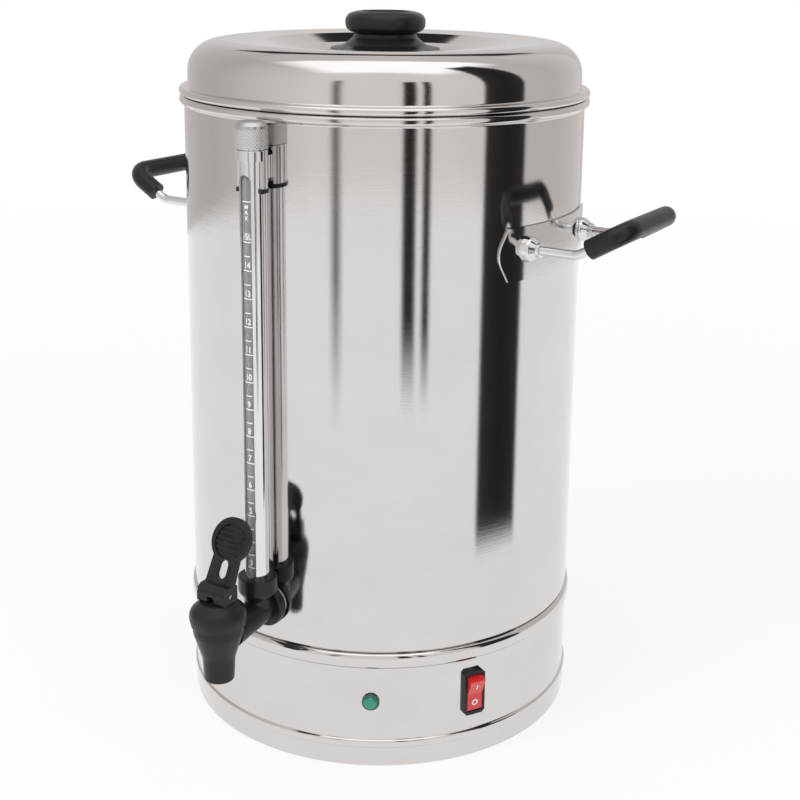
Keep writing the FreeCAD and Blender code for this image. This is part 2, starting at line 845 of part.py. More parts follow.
def nut(name, flats, bore, out, height, up="0"):
    """A hexagon nut on an axis that points out through the wall; out is its outer face."""
    body = new_body(name)
    block = hexagon(new_sketch(body, "YZ_Plane", y=up, lift="%s - %s" % (out, height)), flats)
    circle(block, bore)
    push(body, block, height)
    return body


# Level gauge: glass tube in a slotted chrome shield, held by a collar on the wall and a cap
def make_gauge():
    glass = new_body("gauge_glass")
    turn(glass, [
        ("glass_radius - glass_wall", "glass_foot"),
        ("glass_radius", "glass_foot"),
        ("glass_radius", "glass_top"),
        ("glass_radius - glass_wall", "glass_top"),
    ], x="gauge_out")
    face(glass, FRONT)

    shield = new_body("gauge_shield")
    turn(shield, [
        ("shield_radius - shield_wall", "shield_foot"),
        ("shield_radius", "shield_foot"),
        ("shield_radius", "shield_top"),
        ("shield_radius - shield_wall", "shield_top"),
    ], x="gauge_out")
    slot = new_sketch(shield, "YZ_Plane", lift="gauge_out")
    rectangle(slot, "-slot_width / 2", "slot_width / 2", "slot_foot", "slot_top",
              "slot_width * 0.49")
    push(shield, slot, "gauge_reach", cut=True)
    face(shield, FRONT)

    collar = new_body("gauge_collar")
    turn(collar, [
        ("shield_radius + fit", "collar_foot"),
        ("collar_radius", "collar_foot"),
        ("collar_radius", "collar_top", "collar_edge"),
        ("collar_spigot_radius", "collar_top"),
        ("collar_spigot_radius", "collar_spigot_top"),
        ("glass_radius + fit", "collar_spigot_top"),
        ("glass_radius + fit", "shield_top"),
        ("shield_radius + fit", "shield_top"),
    ], x="gauge_out")
    turn(collar, [
        ("-(shield_radius + fit)", "collar_back_foot"),
        ("-collar_radius", "collar_back_foot"),
        ("-collar_radius", "collar_foot + fit"),
        ("-(shield_radius + fit)", "collar_foot + fit"),
    ], x="gauge_out", angle=200)
    neck = new_sketch(collar, "YZ_Plane", y=COLLAR_MIDDLE, lift="tank_radius + seam_gap")
    centred(neck, "collar_neck_width", "collar_neck_height")
    push(collar, neck, "gauge_out - shield_radius - tank_radius - seam_gap * 2")
    turn(collar, [
        ("stud_end", "0"),
        ("stud_end", "stud_radius"),
        ("tank_radius + seam_gap * 2", "stud_radius"),
        ("tank_radius + seam_gap * 2", "0"),
    ], axis="H_Axis", y=COLLAR_MIDDLE)
    face(collar, FRONT)

    face(nut("gauge_nut", "nut_flats", "stud_radius + fit", INNER_RADIUS + " - seam_gap",
             "nut_height", COLLAR_MIDDLE), FRONT)

    clip = new_body("gauge_clip")
    turn(clip, [
        ("-(shield_radius + fit)", "collar_back_foot - clip_height"),
        ("-(collar_radius + clip_out)", "collar_back_foot - clip_height"),
        ("-(collar_radius + clip_out)", "collar_back_foot"),
        ("-(shield_radius + fit)", "collar_back_foot"),
    ], x="gauge_out", angle=220)
    face(clip, FRONT)

    cap = new_body("gauge_cap")
    top = CAP_FOOT + " + cap_height"
    roof = top + " - cap_roof"
    turn(cap, [
        ("collar_spigot_radius + seam_gap", CAP_FOOT),
        ("cap_radius", CAP_FOOT),
        ("cap_radius", top + " - cap_chamfer"),
        ("cap_radius - cap_chamfer * 0.6", top + " - cap_chamfer * 0.3", "cap_chamfer * 0.4"),
        ("cap_radius - cap_chamfer", top),
        ("0", top),
        ("0", roof),
        ("collar_spigot_radius + seam_gap", roof),
    ], x="gauge_out")
    face(cap, FRONT)

    upper = new_body("gauge_upper_seal")
    turn(upper, [
        ("glass_radius - glass_wall", "collar_spigot_top"),
        ("collar_spigot_radius - fit", "collar_spigot_top"),
        ("collar_spigot_radius - fit", roof + " - seam_gap"),
        ("glass_radius - glass_wall", roof + " - seam_gap"),
    ], x="gauge_out")
    face(upper, FRONT)

    lower = new_body("gauge_lower_seal")
    turn(lower, [
        ("glass_radius + fit", "shield_foot - seal_height"),
        ("shield_radius - fit", "shield_foot - seal_height"),
        ("shield_radius - fit", "shield_foot"),
        ("glass_radius + fit", "shield_foot"),
    ], x="gauge_out")
    face(lower, FRONT)


# Tap: one moulding for spout, barrel, gauge socket, wall flange and shank
def make_tap_body():
    body = new_body("tap_body")
    turn(body, [
        ("0", "spout_foot"),
        ("spout_foot_radius", "spout_foot", "spout_lip"),
        ("spout_foot_radius + spout_waist_out", "spout_foot + spout_waist", "spout_curve"),
        ("spout_shoulder", "bonnet_foot - shoulder_drop", "shoulder_curve"),
        ("spout_shoulder", "bonnet_foot - seam_gap"),
        ("neck_radius", "bonnet_foot - seam_gap"),
        ("neck_radius", "neck_top"),
        ("0", "neck_top"),
    ], x="tap_out")
    flange_in = "tank_radius + wall_gasket"
    turn(body, [
        ("shank_end", "0"),
        ("shank_end", "shank_radius"),
        (flange_in, "shank_radius"),
        (flange_in, "flange_radius"),
        (flange_in + " + flange_thickness", "flange_radius", "flange_edge"),
        (flange_in + " + flange_thickness", "0"),
    ], axis="H_Axis", y="tap_height")
    flange_face = flange_in + " + flange_thickness"
    wall_end = circle(new_sketch(body, "YZ_Plane", y="tap_height", lift=flange_face),
                      "barrel_wall_radius")
    spout_end = circle(new_sketch(body, "YZ_Plane", y="tap_height - barrel_drop",
                                  lift="tap_out - chamber_radius - cut_overrun"), "barrel_radius")
    barrel, before = grow(body, "AdditiveLoft", wall_end)
    barrel.Sections = [spout_end]
    doc.recompute()
    changed(body, before, False)
    turn(body, [
        ("0", "tap_height"),
        ("socket_radius * 0.7", "tap_height"),
        ("socket_radius * 0.7", "socket_foot", "socket_curve * 0.75"),
        ("socket_radius", "socket_foot + socket_flare", "socket_curve"),
        ("socket_radius", "socket_top", "flange_edge * 0.5"),
        ("0", "socket_top"),
    ], x="gauge_out")
    turn(body, [
        ("0", "spout_foot - cut_overrun"),
        ("spout_bore", "spout_foot - cut_overrun"),
        ("spout_bore", "seat_height"),
        ("chamber_radius", "seat_height"),
        ("chamber_radius", "neck_top + cut_overrun"),
        ("0", "neck_top + cut_overrun"),
    ], x="tap_out", cut=True)
    turn(body, [
        ("shank_end - cut_overrun", "0"),
        ("shank_end - cut_overrun", "water_way"),
        ("tap_out - chamber_radius * 0.6", "water_way"),
        ("tap_out - chamber_radius * 0.6", "0"),
    ], axis="H_Axis", y="tap_height", cut=True)
    turn(body, [
        ("0", "tap_height"),
        ("water_way * 0.6", "tap_height"),
        ("water_way * 0.6", "glass_foot - seam_gap"),
        ("glass_radius + fit", "glass_foot - seam_gap"),
        ("glass_radius + fit", "shield_foot - seal_height"),
        ("shield_radius + fit", "shield_foot - seal_height"),
        ("shield_radius + fit", "socket_top + cut_overrun"),
        ("0", "socket_top + cut_overrun"),
    ], x="gauge_out", cut=True)
    face(body, FRONT)


# Gaskets on both sides of the wall and the lock nut inside the tank
def make_tap_mount():
    outer = new_body("tap_gasket_outer")
    ring = circle(new_sketch(outer, "YZ_Plane", y="tap_height", lift="tank_radius + fit"),
                  "wall_gasket_radius")
    circle(ring, "shank_radius + fit")
    push(outer, ring, "wall_gasket - fit")
    face(outer, FRONT)
    inner = new_body("tap_gasket_inner")
    face_in = INNER_RADIUS + " - seam_gap * 2.5 - wall_gasket"
    ring = circle(new_sketch(inner, "YZ_Plane", y="tap_height", lift=face_in),
                  "wall_gasket_radius")
    circle(ring, "shank_radius + fit")
    push(inner, ring, "wall_gasket")
    face(inner, FRONT)
    face(nut("tap_lock_nut", "lock_nut_flats", "shank_radius + fit", face_in,
             "lock_nut_height", "tap_height"), FRONT)


# Bonnet screwed over the tap's neck, with the valve's stem, seat cup and spring inside
def make_valve():
    bonnet = new_body("tap_bonnet")
    roof = "(bonnet_top - bonnet_roof)"
    turn(bonnet, [
        ("neck_radius + fit", "bonnet_foot"),
        ("bonnet_radius - bonnet_edge", "bonnet_foot"),
        ("bonnet_radius", "bonnet_foot + bonnet_skirt * 0.5"),
        ("bonnet_radius", "bonnet_foot + bonnet_skirt", "bonnet_dome"),
        ("bonnet_neck_radius", "bonnet_top", "bonnet_edge * 0.6"),
        ("stem_radius + seam_gap", "bonnet_top"),
        ("stem_radius + seam_gap", roof),
        ("chamber_radius - flange_edge", roof),
        ("chamber_radius - flange_edge", "neck_top + seam_gap"),
        ("neck_radius + fit", "neck_top + seam_gap"),
    ], x="tap_out")
    face(bonnet, FRONT)

    cup = new_body("valve_seat_cup")
    cup_foot = "seat_height + seam_gap"
    collar_foot = cup_foot + " + cup_height"
    turn(cup, [
        ("0", cup_foot),
        ("cup_radius", cup_foot),
        ("cup_radius", cup_foot + " + cup_rim", "cup_rim * 0.4"),
        ("stem_radius * 2", cup_foot + " + cup_taper"),
        ("stem_radius * 2", collar_foot),
        ("stem_radius + fit", collar_foot),
        ("stem_radius + fit", cup_foot + " + cup_floor"),
        ("0", cup_foot + " + cup_floor"),
    ], x="tap_out")
    face(cup, FRONT)

    stem = new_body("valve_stem")
    turn(stem, [
        ("0", cup_foot + " + cup_floor"),
        ("stem_radius", cup_foot + " + cup_floor"),
        ("stem_radius", collar_foot),
        ("stem_collar_radius", collar_foot),
        ("stem_collar_radius", collar_foot + " + stem_collar"),
        ("stem_radius", collar_foot + " + stem_collar"),
        ("stem_radius", PIN_HEIGHT + " - pin_radius"),
        ("0", PIN_HEIGHT + " - pin_radius"),
    ], x="tap_out")
    eye = new_sketch(stem, x="tap_out", y=PIN_HEIGHT)
    rectangle(eye, "-eye_half", "eye_half", "-pin_rise + seam_gap", "eye_top",
              "eye_half * 0.3")
    circle(eye, "pin_radius + fit")
    push(stem, eye, "eye_thickness", both=True)
    face(stem, FRONT)

    spring = new_body("valve_spring")
    ring = circle(new_sketch(spring, x="tap_out"), "spring_wire",
                  x="spring_radius", y=collar_foot + " + stem_collar + spring_wire + fit")
    coil = spring.newObject("PartDesign::AdditiveHelix", "valve_spring_coil")
    coil.Profile = ring
    coil.ReferenceAxis = (ring, ["V_Axis"])
    coil.Mode = "height-turns-angle"
    coil.setExpression("Height", bound(
        "%s - (%s) - stem_collar - spring_wire * 2 - fit * 2" % (roof, collar_foot)))
    coil.setExpression("Turns", bound("spring_turns"))
    doc.recompute()
    face(spring, FRONT)


# Lever leaning back over the bonnet: hub with a toe that presses on it, shank with a window,
# round ribbed pad, and the pin through the valve's stem
def make_lever():
    lever = new_body("tap_lever")
    hub = new_sketch(lever, x="tap_out", y=PIN_HEIGHT)
    outline(hub, [
        ("-hub_back", "-pin_rise + seam_gap", "hub_edge"),
        ("hub_front", "-pin_rise + seam_gap", "hub_edge * 0.8"),
        ("hub_front", "hub_nose", "hub_edge * 0.5"),
        ("hub_front - hub_fold", "hub_nose + hub_fold", "hub_edge * 0.3"),
        ("hub_front", "hub_nose + hub_fold * 2", "hub_edge * 0.5"),
        ("hub_front * 0.45", "hub_height", "hub_edge"),
        ("-hub_back", "hub_height", "hub_edge"),
    ])
    push(lever, hub, "lever_width", both=True)
    place = {"plane": "YZ_Plane", "y": PIN_HEIGHT, "turned": "-lever_lean", "about": (1, 0, 0)}
    half = "lever_thickness / 2"
    back = "tap_out - " + half
    shank = new_sketch(lever, lift=back, **place)
    outline(shank, [
        ("-lever_width / 2", "lever_shank_foot"),
        ("lever_width / 2", "lever_shank_foot"),
        ("lever_neck_width / 2", "lever_pad_height - lever_pad_radius * 0.6"),
        ("-lever_neck_width / 2", "lever_pad_height - lever_pad_radius * 0.6"),
    ])
    push(lever, shank, "lever_thickness")
    pad = circle(new_sketch(lever, lift=back, **place), "lever_pad_radius", y="lever_pad_height")
    push(lever, pad, "lever_thickness")
    window_rim = new_sketch(lever, lift="tap_out + " + half, **place)
    wide, tall = "lever_window_width / 2", "lever_window_height / 2"
    rectangle(window_rim, "-(%s) - lever_rim" % wide, wide + " + lever_rim",
              "lever_window_centre - %s - lever_rim" % tall,
              "lever_window_centre + %s + lever_rim" % tall, "lever_window_width * 0.6")
    push(lever, window_rim, "lever_rim_height")
    hole = new_sketch(lever, lift="tap_out - lever_thickness", **place)
    rectangle(hole, "-" + wide, wide, "lever_window_centre - " + tall,
              "lever_window_centre + " + tall, "lever_window_width * 0.48")
    push(lever, hole, "lever_thickness * 2", cut=True)
    dish = circle(new_sketch(lever, lift="tap_out + %s - lever_dish_depth" % half, **place),
                  "lever_dish_radius", y="lever_pad_height")
    push(lever, dish, "lever_thickness", cut=True)
    ribs = new_sketch(lever, lift="tap_out + %s - lever_dish_depth" % half, **place)
    count = int(value("lever_ribs"))
    pitch = "lever_dish_radius * 2 / (lever_ribs + 1)"
    for rib in range(count):
        level = "(%s * %g)" % (pitch, rib - (count - 1) / 2)
        edge = "(abs(%s) + lever_rib / 2)" % level
        chord = "(sqrt(lever_dish_radius ^ 2 - %s ^ 2) - seam_gap)" % edge
        middle = "lever_pad_height + " + level
        rectangle(ribs, "-" + chord, chord, middle + " - lever_rib / 2",
                  middle + " + lever_rib / 2")
    push(lever, ribs, "lever_dish_depth * 0.9")
    slot = new_sketch(lever, x="tap_out", y=PIN_HEIGHT)
    outline(slot, [
        ("-slot_reach", "-pin_rise - cut_overrun"),
        ("slot_reach", "-pin_rise - cut_overrun"),
        ("slot_reach", "-slot_throat"),
        ("eye_half + slot_throat * 1.5", "slot_throat * 0.5"),
        ("eye_half + slot_throat", "eye_top + slot_throat"),
        ("-slot_reach", "eye_top + slot_throat"),
    ])
    push(lever, slot, "eye_slot", cut=True, both=True)
    bore = circle(new_sketch(lever, x="tap_out", y=PIN_HEIGHT), "pin_radius + fit")
    push(lever, bore, "lever_width * 2", cut=True, both=True)
    face(lever, FRONT)

    pin = new_body("lever_pin")
    push(pin, circle(new_sketch(pin, x="tap_out", y=PIN_HEIGHT), "pin_radius"),
         "lever_width - pin_play", both=True)
    face(pin, FRONT)


# Power switch: bezel with cut corners, housing behind it, and the rocker on its axle
def make_switch():
    housing = new_body("switch_housing")
    wide, tall, cut = "bezel_width / 2", "bezel_height / 2", "bezel_chamfer"
    bezel = new_sketch(housing, "YZ_Plane", y="control_height", lift="tank_radius + fit")
    outline(bezel, [
        ("-%s + %s" % (wide, cut), "-" + tall),
        ("%s - %s" % (wide, cut), "-" + tall),
        (wide, "-%s + %s" % (tall, cut)),
        (wide, "%s - %s" % (tall, cut)),
        ("%s - %s" % (wide, cut), tall),
        ("-%s + %s" % (wide, cut), tall),
        ("-" + wide, "%s - %s" % (tall, cut)),
        ("-" + wide, "-%s + %s" % (tall, cut)),
    ])
    push(housing, bezel, "bezel_depth")
    box = new_sketch(housing, "YZ_Plane", y="control_height", lift="tank_radius + fit")
    centred(box, "bezel_width - bezel_rim * 2", "bezel_height - bezel_rim * 2")
    push(housing, box, "switch_depth", back=True)
    hollow = new_sketch(housing, "YZ_Plane", y="control_height",
                        lift=SWITCH_FACE + " - rocker_cavity")
    centred(hollow, "rocker_width + rocker_slack * 2", "(rocker_half + rocker_end_play) * 2")
    push(housing, hollow, "rocker_cavity * 2", cut=True)
    axle = circle(new_sketch(housing, x=SWITCH_FACE, y="control_height", lift="0"),
                  "rocker_axle + fit", x="-rocker_axle * 2")
    push(housing, axle, "rocker_width + rocker_slack * 2 + stub_length * 2.5", cut=True,
         both=True)
    face(housing, SWITCH)

    rocker = new_body("switch_rocker")
    side = new_sketch(rocker, x=SWITCH_FACE + " - rocker_axle * 2", y="control_height",
                      turned="-rocker_tilt")
    outline(side, [
        ("-rocker_root", "-rocker_half * 0.5", "rocker_edge"),
        ("-rocker_edge * 2", "-rocker_half"),
        ("rocker_axle * 2 + rocker_lip", "-rocker_half", "rocker_edge * 0.6"),
        ("rocker_axle * 2 + rocker_slack", "0", "rocker_edge * 4"),
        ("rocker_axle * 2 + rocker_lip", "rocker_half", "rocker_edge * 0.6"),
        ("-rocker_edge * 2", "rocker_half"),
        ("-rocker_root", "rocker_half * 0.5", "rocker_edge"),
    ])
    push(rocker, side, "rocker_width", both=True)
    stub = circle(new_sketch(rocker, x=SWITCH_FACE, y="control_height"),
                  "rocker_axle", x="-rocker_axle * 2")
    push(rocker, stub, "rocker_width + rocker_slack * 2 + stub_length * 2", both=True)
    face(rocker, SWITCH)


# Pilot lamp: domed lens with a rim outside the shell, body and push-on nut inside
def make_pilot():
    lens = new_body("pilot_lens")
    turn(lens, [
        ("tank_radius + seam_gap", "0"),
        ("tank_radius + seam_gap", "pilot_radius"),
        ("tank_radius + seam_gap + pilot_rim", "pilot_radius", "pilot_edge"),
        ("tank_radius + seam_gap + pilot_rim", "pilot_radius * 0.8"),
        ("tank_radius + seam_gap + pilot_rim + pilot_dome", "pilot_radius * 0.55",
         "pilot_radius * 0.3"),
        ("tank_radius + seam_gap + pilot_rim + pilot_dome", "0"),
    ], axis="H_Axis", y="control_height")
    face(lens, PILOT)
    body = new_body("pilot_body")
    turn(body, [
        ("tank_radius + seam_gap - pilot_depth", "0"),
        ("tank_radius + seam_gap - pilot_depth", "pilot_body_radius", "pilot_edge"),
        ("tank_radius + seam_gap", "pilot_body_radius"),
        ("tank_radius + seam_gap", "0"),
    ], axis="H_Axis", y="control_height")
    face(body, PILOT)
    ring = new_body("pilot_nut")
    turn(ring, [
        (INNER_RADIUS + " - seam_gap - pilot_nut_height", "pilot_body_radius + fit"),
        (INNER_RADIUS + " - seam_gap - pilot_nut_height", "pilot_nut_radius"),
        (INNER_RADIUS + " - seam_gap", "pilot_nut_radius"),
        (INNER_RADIUS + " - seam_gap", "pilot_body_radius + fit"),
    ], axis="H_Axis", y="control_height")
    face(ring, PILOT)


# Power inlet at the back: flanged socket, its three pins and its screws
def make_inlet():
    place = {"plane": "YZ_Plane", "y": "inlet_height"}
    housing = new_body("inlet_housing")
    flange = new_sketch(housing, lift="tank_radius + fit", **place)
    centred(flange, "inlet_flange_width", "inlet_flange_height", "inlet_corner")
    push(housing, flange, "inlet_flange")
    box = new_sketch(housing, lift="tank_radius + fit", **place)
    centred(box, "inlet_body_width", "inlet_body_height")
    push(housing, box, "inlet_depth", back=True)
    socket = new_sketch(housing, lift=INLET_FACE + " - inlet_socket_depth", **place)
    wide, tall = "inlet_socket_width / 2", "inlet_socket_height / 2"
    cut = "inlet_socket_width * 0.28"
    outline(socket, [
        ("-" + wide, "-" + tall),
        ("%s - %s" % (wide, cut), "-" + tall),
        (wide, "-%s + %s" % (tall, cut)),
        (wide, "%s - %s" % (tall, cut)),
        ("%s - %s" % (wide, cut), tall),
        ("-" + wide, tall),
    ])
    push(housing, socket, "inlet_socket_depth * 2", cut=True)
    for side in ("", "-"):
        hole = circle(new_sketch(housing, lift="tank_radius", **place),
                      "inlet_screw_radius + fit", y=side + "inlet_screw_span / 2")
        push(housing, hole, "inlet_flange * 2", cut=True)
    pins = new_body("inlet_pins")
    blades = new_sketch(pins, lift=INLET_FACE + " - inlet_depth - inlet_tab", **place)
    thick, width = "inlet_pin_thickness / 2", "inlet_pin_width / 2"
    for x, y in (("-inlet_earth_shift", "inlet_pin_spacing"),
                 ("-inlet_earth_shift", "-inlet_pin_spacing"), ("inlet_earth_shift", "0")):
        rectangle(blades, "%s - %s" % (x, width), "%s + %s" % (x, width),
                  "%s - %s" % (y, thick), "%s + %s" % (y, thick))
    push(pins, blades, "inlet_depth + inlet_tab - inlet_pin_inset")
    holes = new_sketch(housing, lift=INLET_FACE + " - inlet_socket_depth + cut_overrun", **place)
    for x, y in (("-inlet_earth_shift", "inlet_pin_spacing"),
                 ("-inlet_earth_shift", "-inlet_pin_spacing"), ("inlet_earth_shift", "0")):
        rectangle(holes, "%s - %s - fit" % (x, width), "%s + %s + fit" % (x, width),
                  "%s - %s - fit" % (y, thick), "%s + %s + fit" % (y, thick))
    push(housing, holes, "inlet_depth", cut=True, back=True)
    face(housing, BACK)
    face(pins, BACK)

    screws = new_body("inlet_screws")
    for side in ("+", "-"):
        turn(screws, [
            (INLET_FACE + " + fit - inlet_screw_length", "0"),
            (INLET_FACE + " + fit - inlet_screw_length", "inlet_screw_radius"),
            (INLET_FACE + " + fit", "inlet_screw_radius"),
            (INLET_FACE + " + fit", "inlet_screw_radius * 1.9"),
            (INLET_FACE + " + fit + screw_head", "inlet_screw_radius * 1.9", "screw_head * 0.5"),
            (INLET_FACE + " + fit + screw_head", "0"),
        ], axis="H_Axis", y="inlet_height %s inlet_screw_span / 2" % side)
    face(screws, BACK)


# Heater under the tank floor, clamped with the thermostat and the thermal cut-out
def make_heater():
    heater = new_body("heating_plate")
    turn(heater, [
        ("stud_radius + seam_gap", HEATER_FOOT),
        ("heater_radius", HEATER_FOOT, "heater_edge"),
        ("heater_radius", HEATER_FOOT + " + heater_height"),
        ("stud_radius + seam_gap", HEATER_FOOT + " + heater_height"),
    ])
    bar = new_body("clamp_bar")
    blank = centred(new_sketch(bar, "XY_Plane", lift=CLAMP_FOOT), "clamp_length", "clamp_width",
                    "clamp_width * 0.3")
    circle(blank, "stud_radius + seam_gap")
    push(bar, blank, "clamp_height")
    clamp_nut = new_body("clamp_nut")
    block = hexagon(new_sketch(clamp_nut, "XY_Plane", lift=CLAMP_FOOT + " - nut_height"),
                    "nut_flats")
    circle(block, "stud_radius + fit")
    push(clamp_nut, block, "nut_height")
    for name, radius, place in (("thermostat", "thermostat_radius", "control_reach"),
                                ("thermal_cutout", "cutout_radius", "-control_reach")):
        switch = new_body(name)
        turn(switch, [
            ("0", HEATER_FOOT),
            (radius + " * 0.8", HEATER_FOOT),
            (radius + " * 0.8", HEATER_FOOT + " + heater_height * 0.5"),
            (radius, HEATER_FOOT + " + heater_height * 0.5"),
            (radius, HEATER_FOOT + " + heater_height"),
            ("0", HEATER_FOOT + " + heater_height"),
        ], x=place)


# Terminal block, earth stud and earth nut on the bottom plate
def make_terminals():
    block = new_body("terminal_block")
    base = new_sketch(block, "XY_Plane", y="terminal_place", lift="lip_height")
    centred(base, "terminal_length", "terminal_width")
    push(block, base, "terminal_height")
    for share in ("-", "0 * ", ""):
        well = circle(new_sketch(block, "XY_Plane", x=share + "terminal_length * 0.32",
                                 y="terminal_place", lift="lip_height + terminal_height * 0.4"),
                      "earth_stud_radius")
        push(block, well, "terminal_height", cut=True)
    stud = new_body("earth_stud")
    turn(stud, [
        ("0", "lip_height"),
        ("earth_stud_radius * 2", "lip_height"),
        ("earth_stud_radius * 2", "lip_height + earth_flange"),
        ("earth_stud_radius", "lip_height + earth_flange"),
        ("earth_stud_radius", "lip_height + earth_stud_height"),
        ("0", "lip_height + earth_stud_height"),
    ], x="earth_place")
    earth_nut = new_body("earth_nut")
    blank = hexagon(new_sketch(earth_nut, "XY_Plane", x="earth_place", lift="lip_height + earth_flange"),
                    "earth_nut_flats")
    circle(blank, "earth_stud_radius + fit")
    push(earth_nut, blank, "earth_stud_radius * 1.6")


def main():
    make_tank()
    make_base_shell()
    make_bottom()
    make_lid()
    make_knob()
    for side, bearing in (("right", RIGHT), ("left", LEFT)):
        make_handle(side, bearing)
    make_gauge()
    make_tap_body()
    make_tap_mount()
    make_valve()
    make_lever()
    make_switch()
    make_pilot()
    make_inlet()
    make_heater()
    make_terminals()
    doc.recompute()
    for item in doc.Objects:
        if "Invalid" in item.State or "Error" in item.State:
            raise RuntimeError("%s is in error" % item.Name)
    for piece in PIECES:
        if piece.Shape.isNull() or not piece.Shape.isValid() or not piece.Shape.Solids:
            raise RuntimeError("%s has no valid solid" % piece.Label)
    os.makedirs("parts", exist_ok=True)
    for piece in PIECES:
        piece.Shape.exportStep("parts/%s.step" % piece.Label)
        print(piece.Label, len(piece.Shape.Solids), round(piece.Shape.Volume, 1))


main()
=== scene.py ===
import json
import math

import bpy
import numpy as np
from mathutils import Matrix, Vector


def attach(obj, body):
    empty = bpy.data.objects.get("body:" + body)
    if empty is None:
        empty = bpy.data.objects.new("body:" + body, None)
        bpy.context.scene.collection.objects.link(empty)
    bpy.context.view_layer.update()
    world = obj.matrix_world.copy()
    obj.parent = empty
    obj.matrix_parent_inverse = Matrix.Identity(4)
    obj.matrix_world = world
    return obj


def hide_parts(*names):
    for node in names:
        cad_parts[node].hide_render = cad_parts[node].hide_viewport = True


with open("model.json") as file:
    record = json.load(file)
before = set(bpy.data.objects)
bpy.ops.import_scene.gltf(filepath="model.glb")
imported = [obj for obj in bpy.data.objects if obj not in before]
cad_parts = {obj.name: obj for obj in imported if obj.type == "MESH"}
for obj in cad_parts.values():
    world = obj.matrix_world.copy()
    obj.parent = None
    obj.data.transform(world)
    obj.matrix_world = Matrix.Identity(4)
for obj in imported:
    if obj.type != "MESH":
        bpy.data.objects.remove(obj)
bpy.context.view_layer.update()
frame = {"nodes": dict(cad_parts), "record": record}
NODES = frame["nodes"]
SCENE = bpy.context.scene

# Measures of the frame, in metres and radians
TANK_RADIUS = 0.135
TANK_RIM = 0.428
GAUGE_OUT = 0.1475
GLASS_RADIUS = 0.0062
TAP_OUT = 0.188
CAP_TOP = max((NODES["gauge_cap"].matrix_world @ Vector(spot)).z
              for spot in NODES["gauge_cap"].bound_box)
SWITCH_BEARING = math.radians(-30.5)

# Turned pieces have outlines in millimetres. Where one reaches the axis it stops at a hair's
# radius, so that it stays a closed ring.
PER_METRE = 1000
AXIS = 0.01
CORNER_STEPS = 8
SHARP_EDGE = math.radians(35)

# Points along each edge of a studio card
CARD_POINTS = 25

# Black gloss plastic, from its darkest to its palest
GLOSS_BLACK = ((0.007, 0.007, 0.008), (0.016, 0.016, 0.018))


class Wire:
    """An output of a shader node. Arithmetic on it adds Math nodes to the same material."""

    def __init__(self, shade, socket):
        self.shade, self.socket = shade, socket

    def maths(self, kind, *terms):
        """A Math node of a kind, fed with the terms in their order."""
        return self.shade.make("ShaderNodeMath", {"operation": kind}, dict(enumerate(terms)))

    def __add__(self, other):
        return self.maths("ADD", self, other)

    __radd__ = __add__

    def __sub__(self, other):
        return self.maths("SUBTRACT", self, other)

    def __rsub__(self, other):
        return self.maths("SUBTRACT", other, self)

    def __mul__(self, other):
        return self.maths("MULTIPLY", self, other)

    __rmul__ = __mul__

    def __truediv__(self, other):
        return self.maths("DIVIDE", self, other)

    def __rtruediv__(self, other):
        return self.maths("DIVIDE", other, self)

    def __pow__(self, other):
        return self.maths("POWER", self, other)

    def __gt__(self, other):
        return self.maths("GREATER_THAN", self, other)

    def __lt__(self, other):
        return self.maths("LESS_THAN", self, other)

    def sine(self):
        return self.maths("SINE", self)

    def size(self):
        """The value without its sign."""
        return self.maths("ABSOLUTE", self)

    def clipped(self):
        """The value kept between 0 and 1."""
        return self.maths("MINIMUM", self.maths("MAXIMUM", self, 0.0), 1.0)

    def root(self):
        return self.maths("SQRT", self)

    def bearing(self, other):
        """The angle whose tangent is this over the other, in radians."""
        return self.maths("ARCTAN2", self, other)


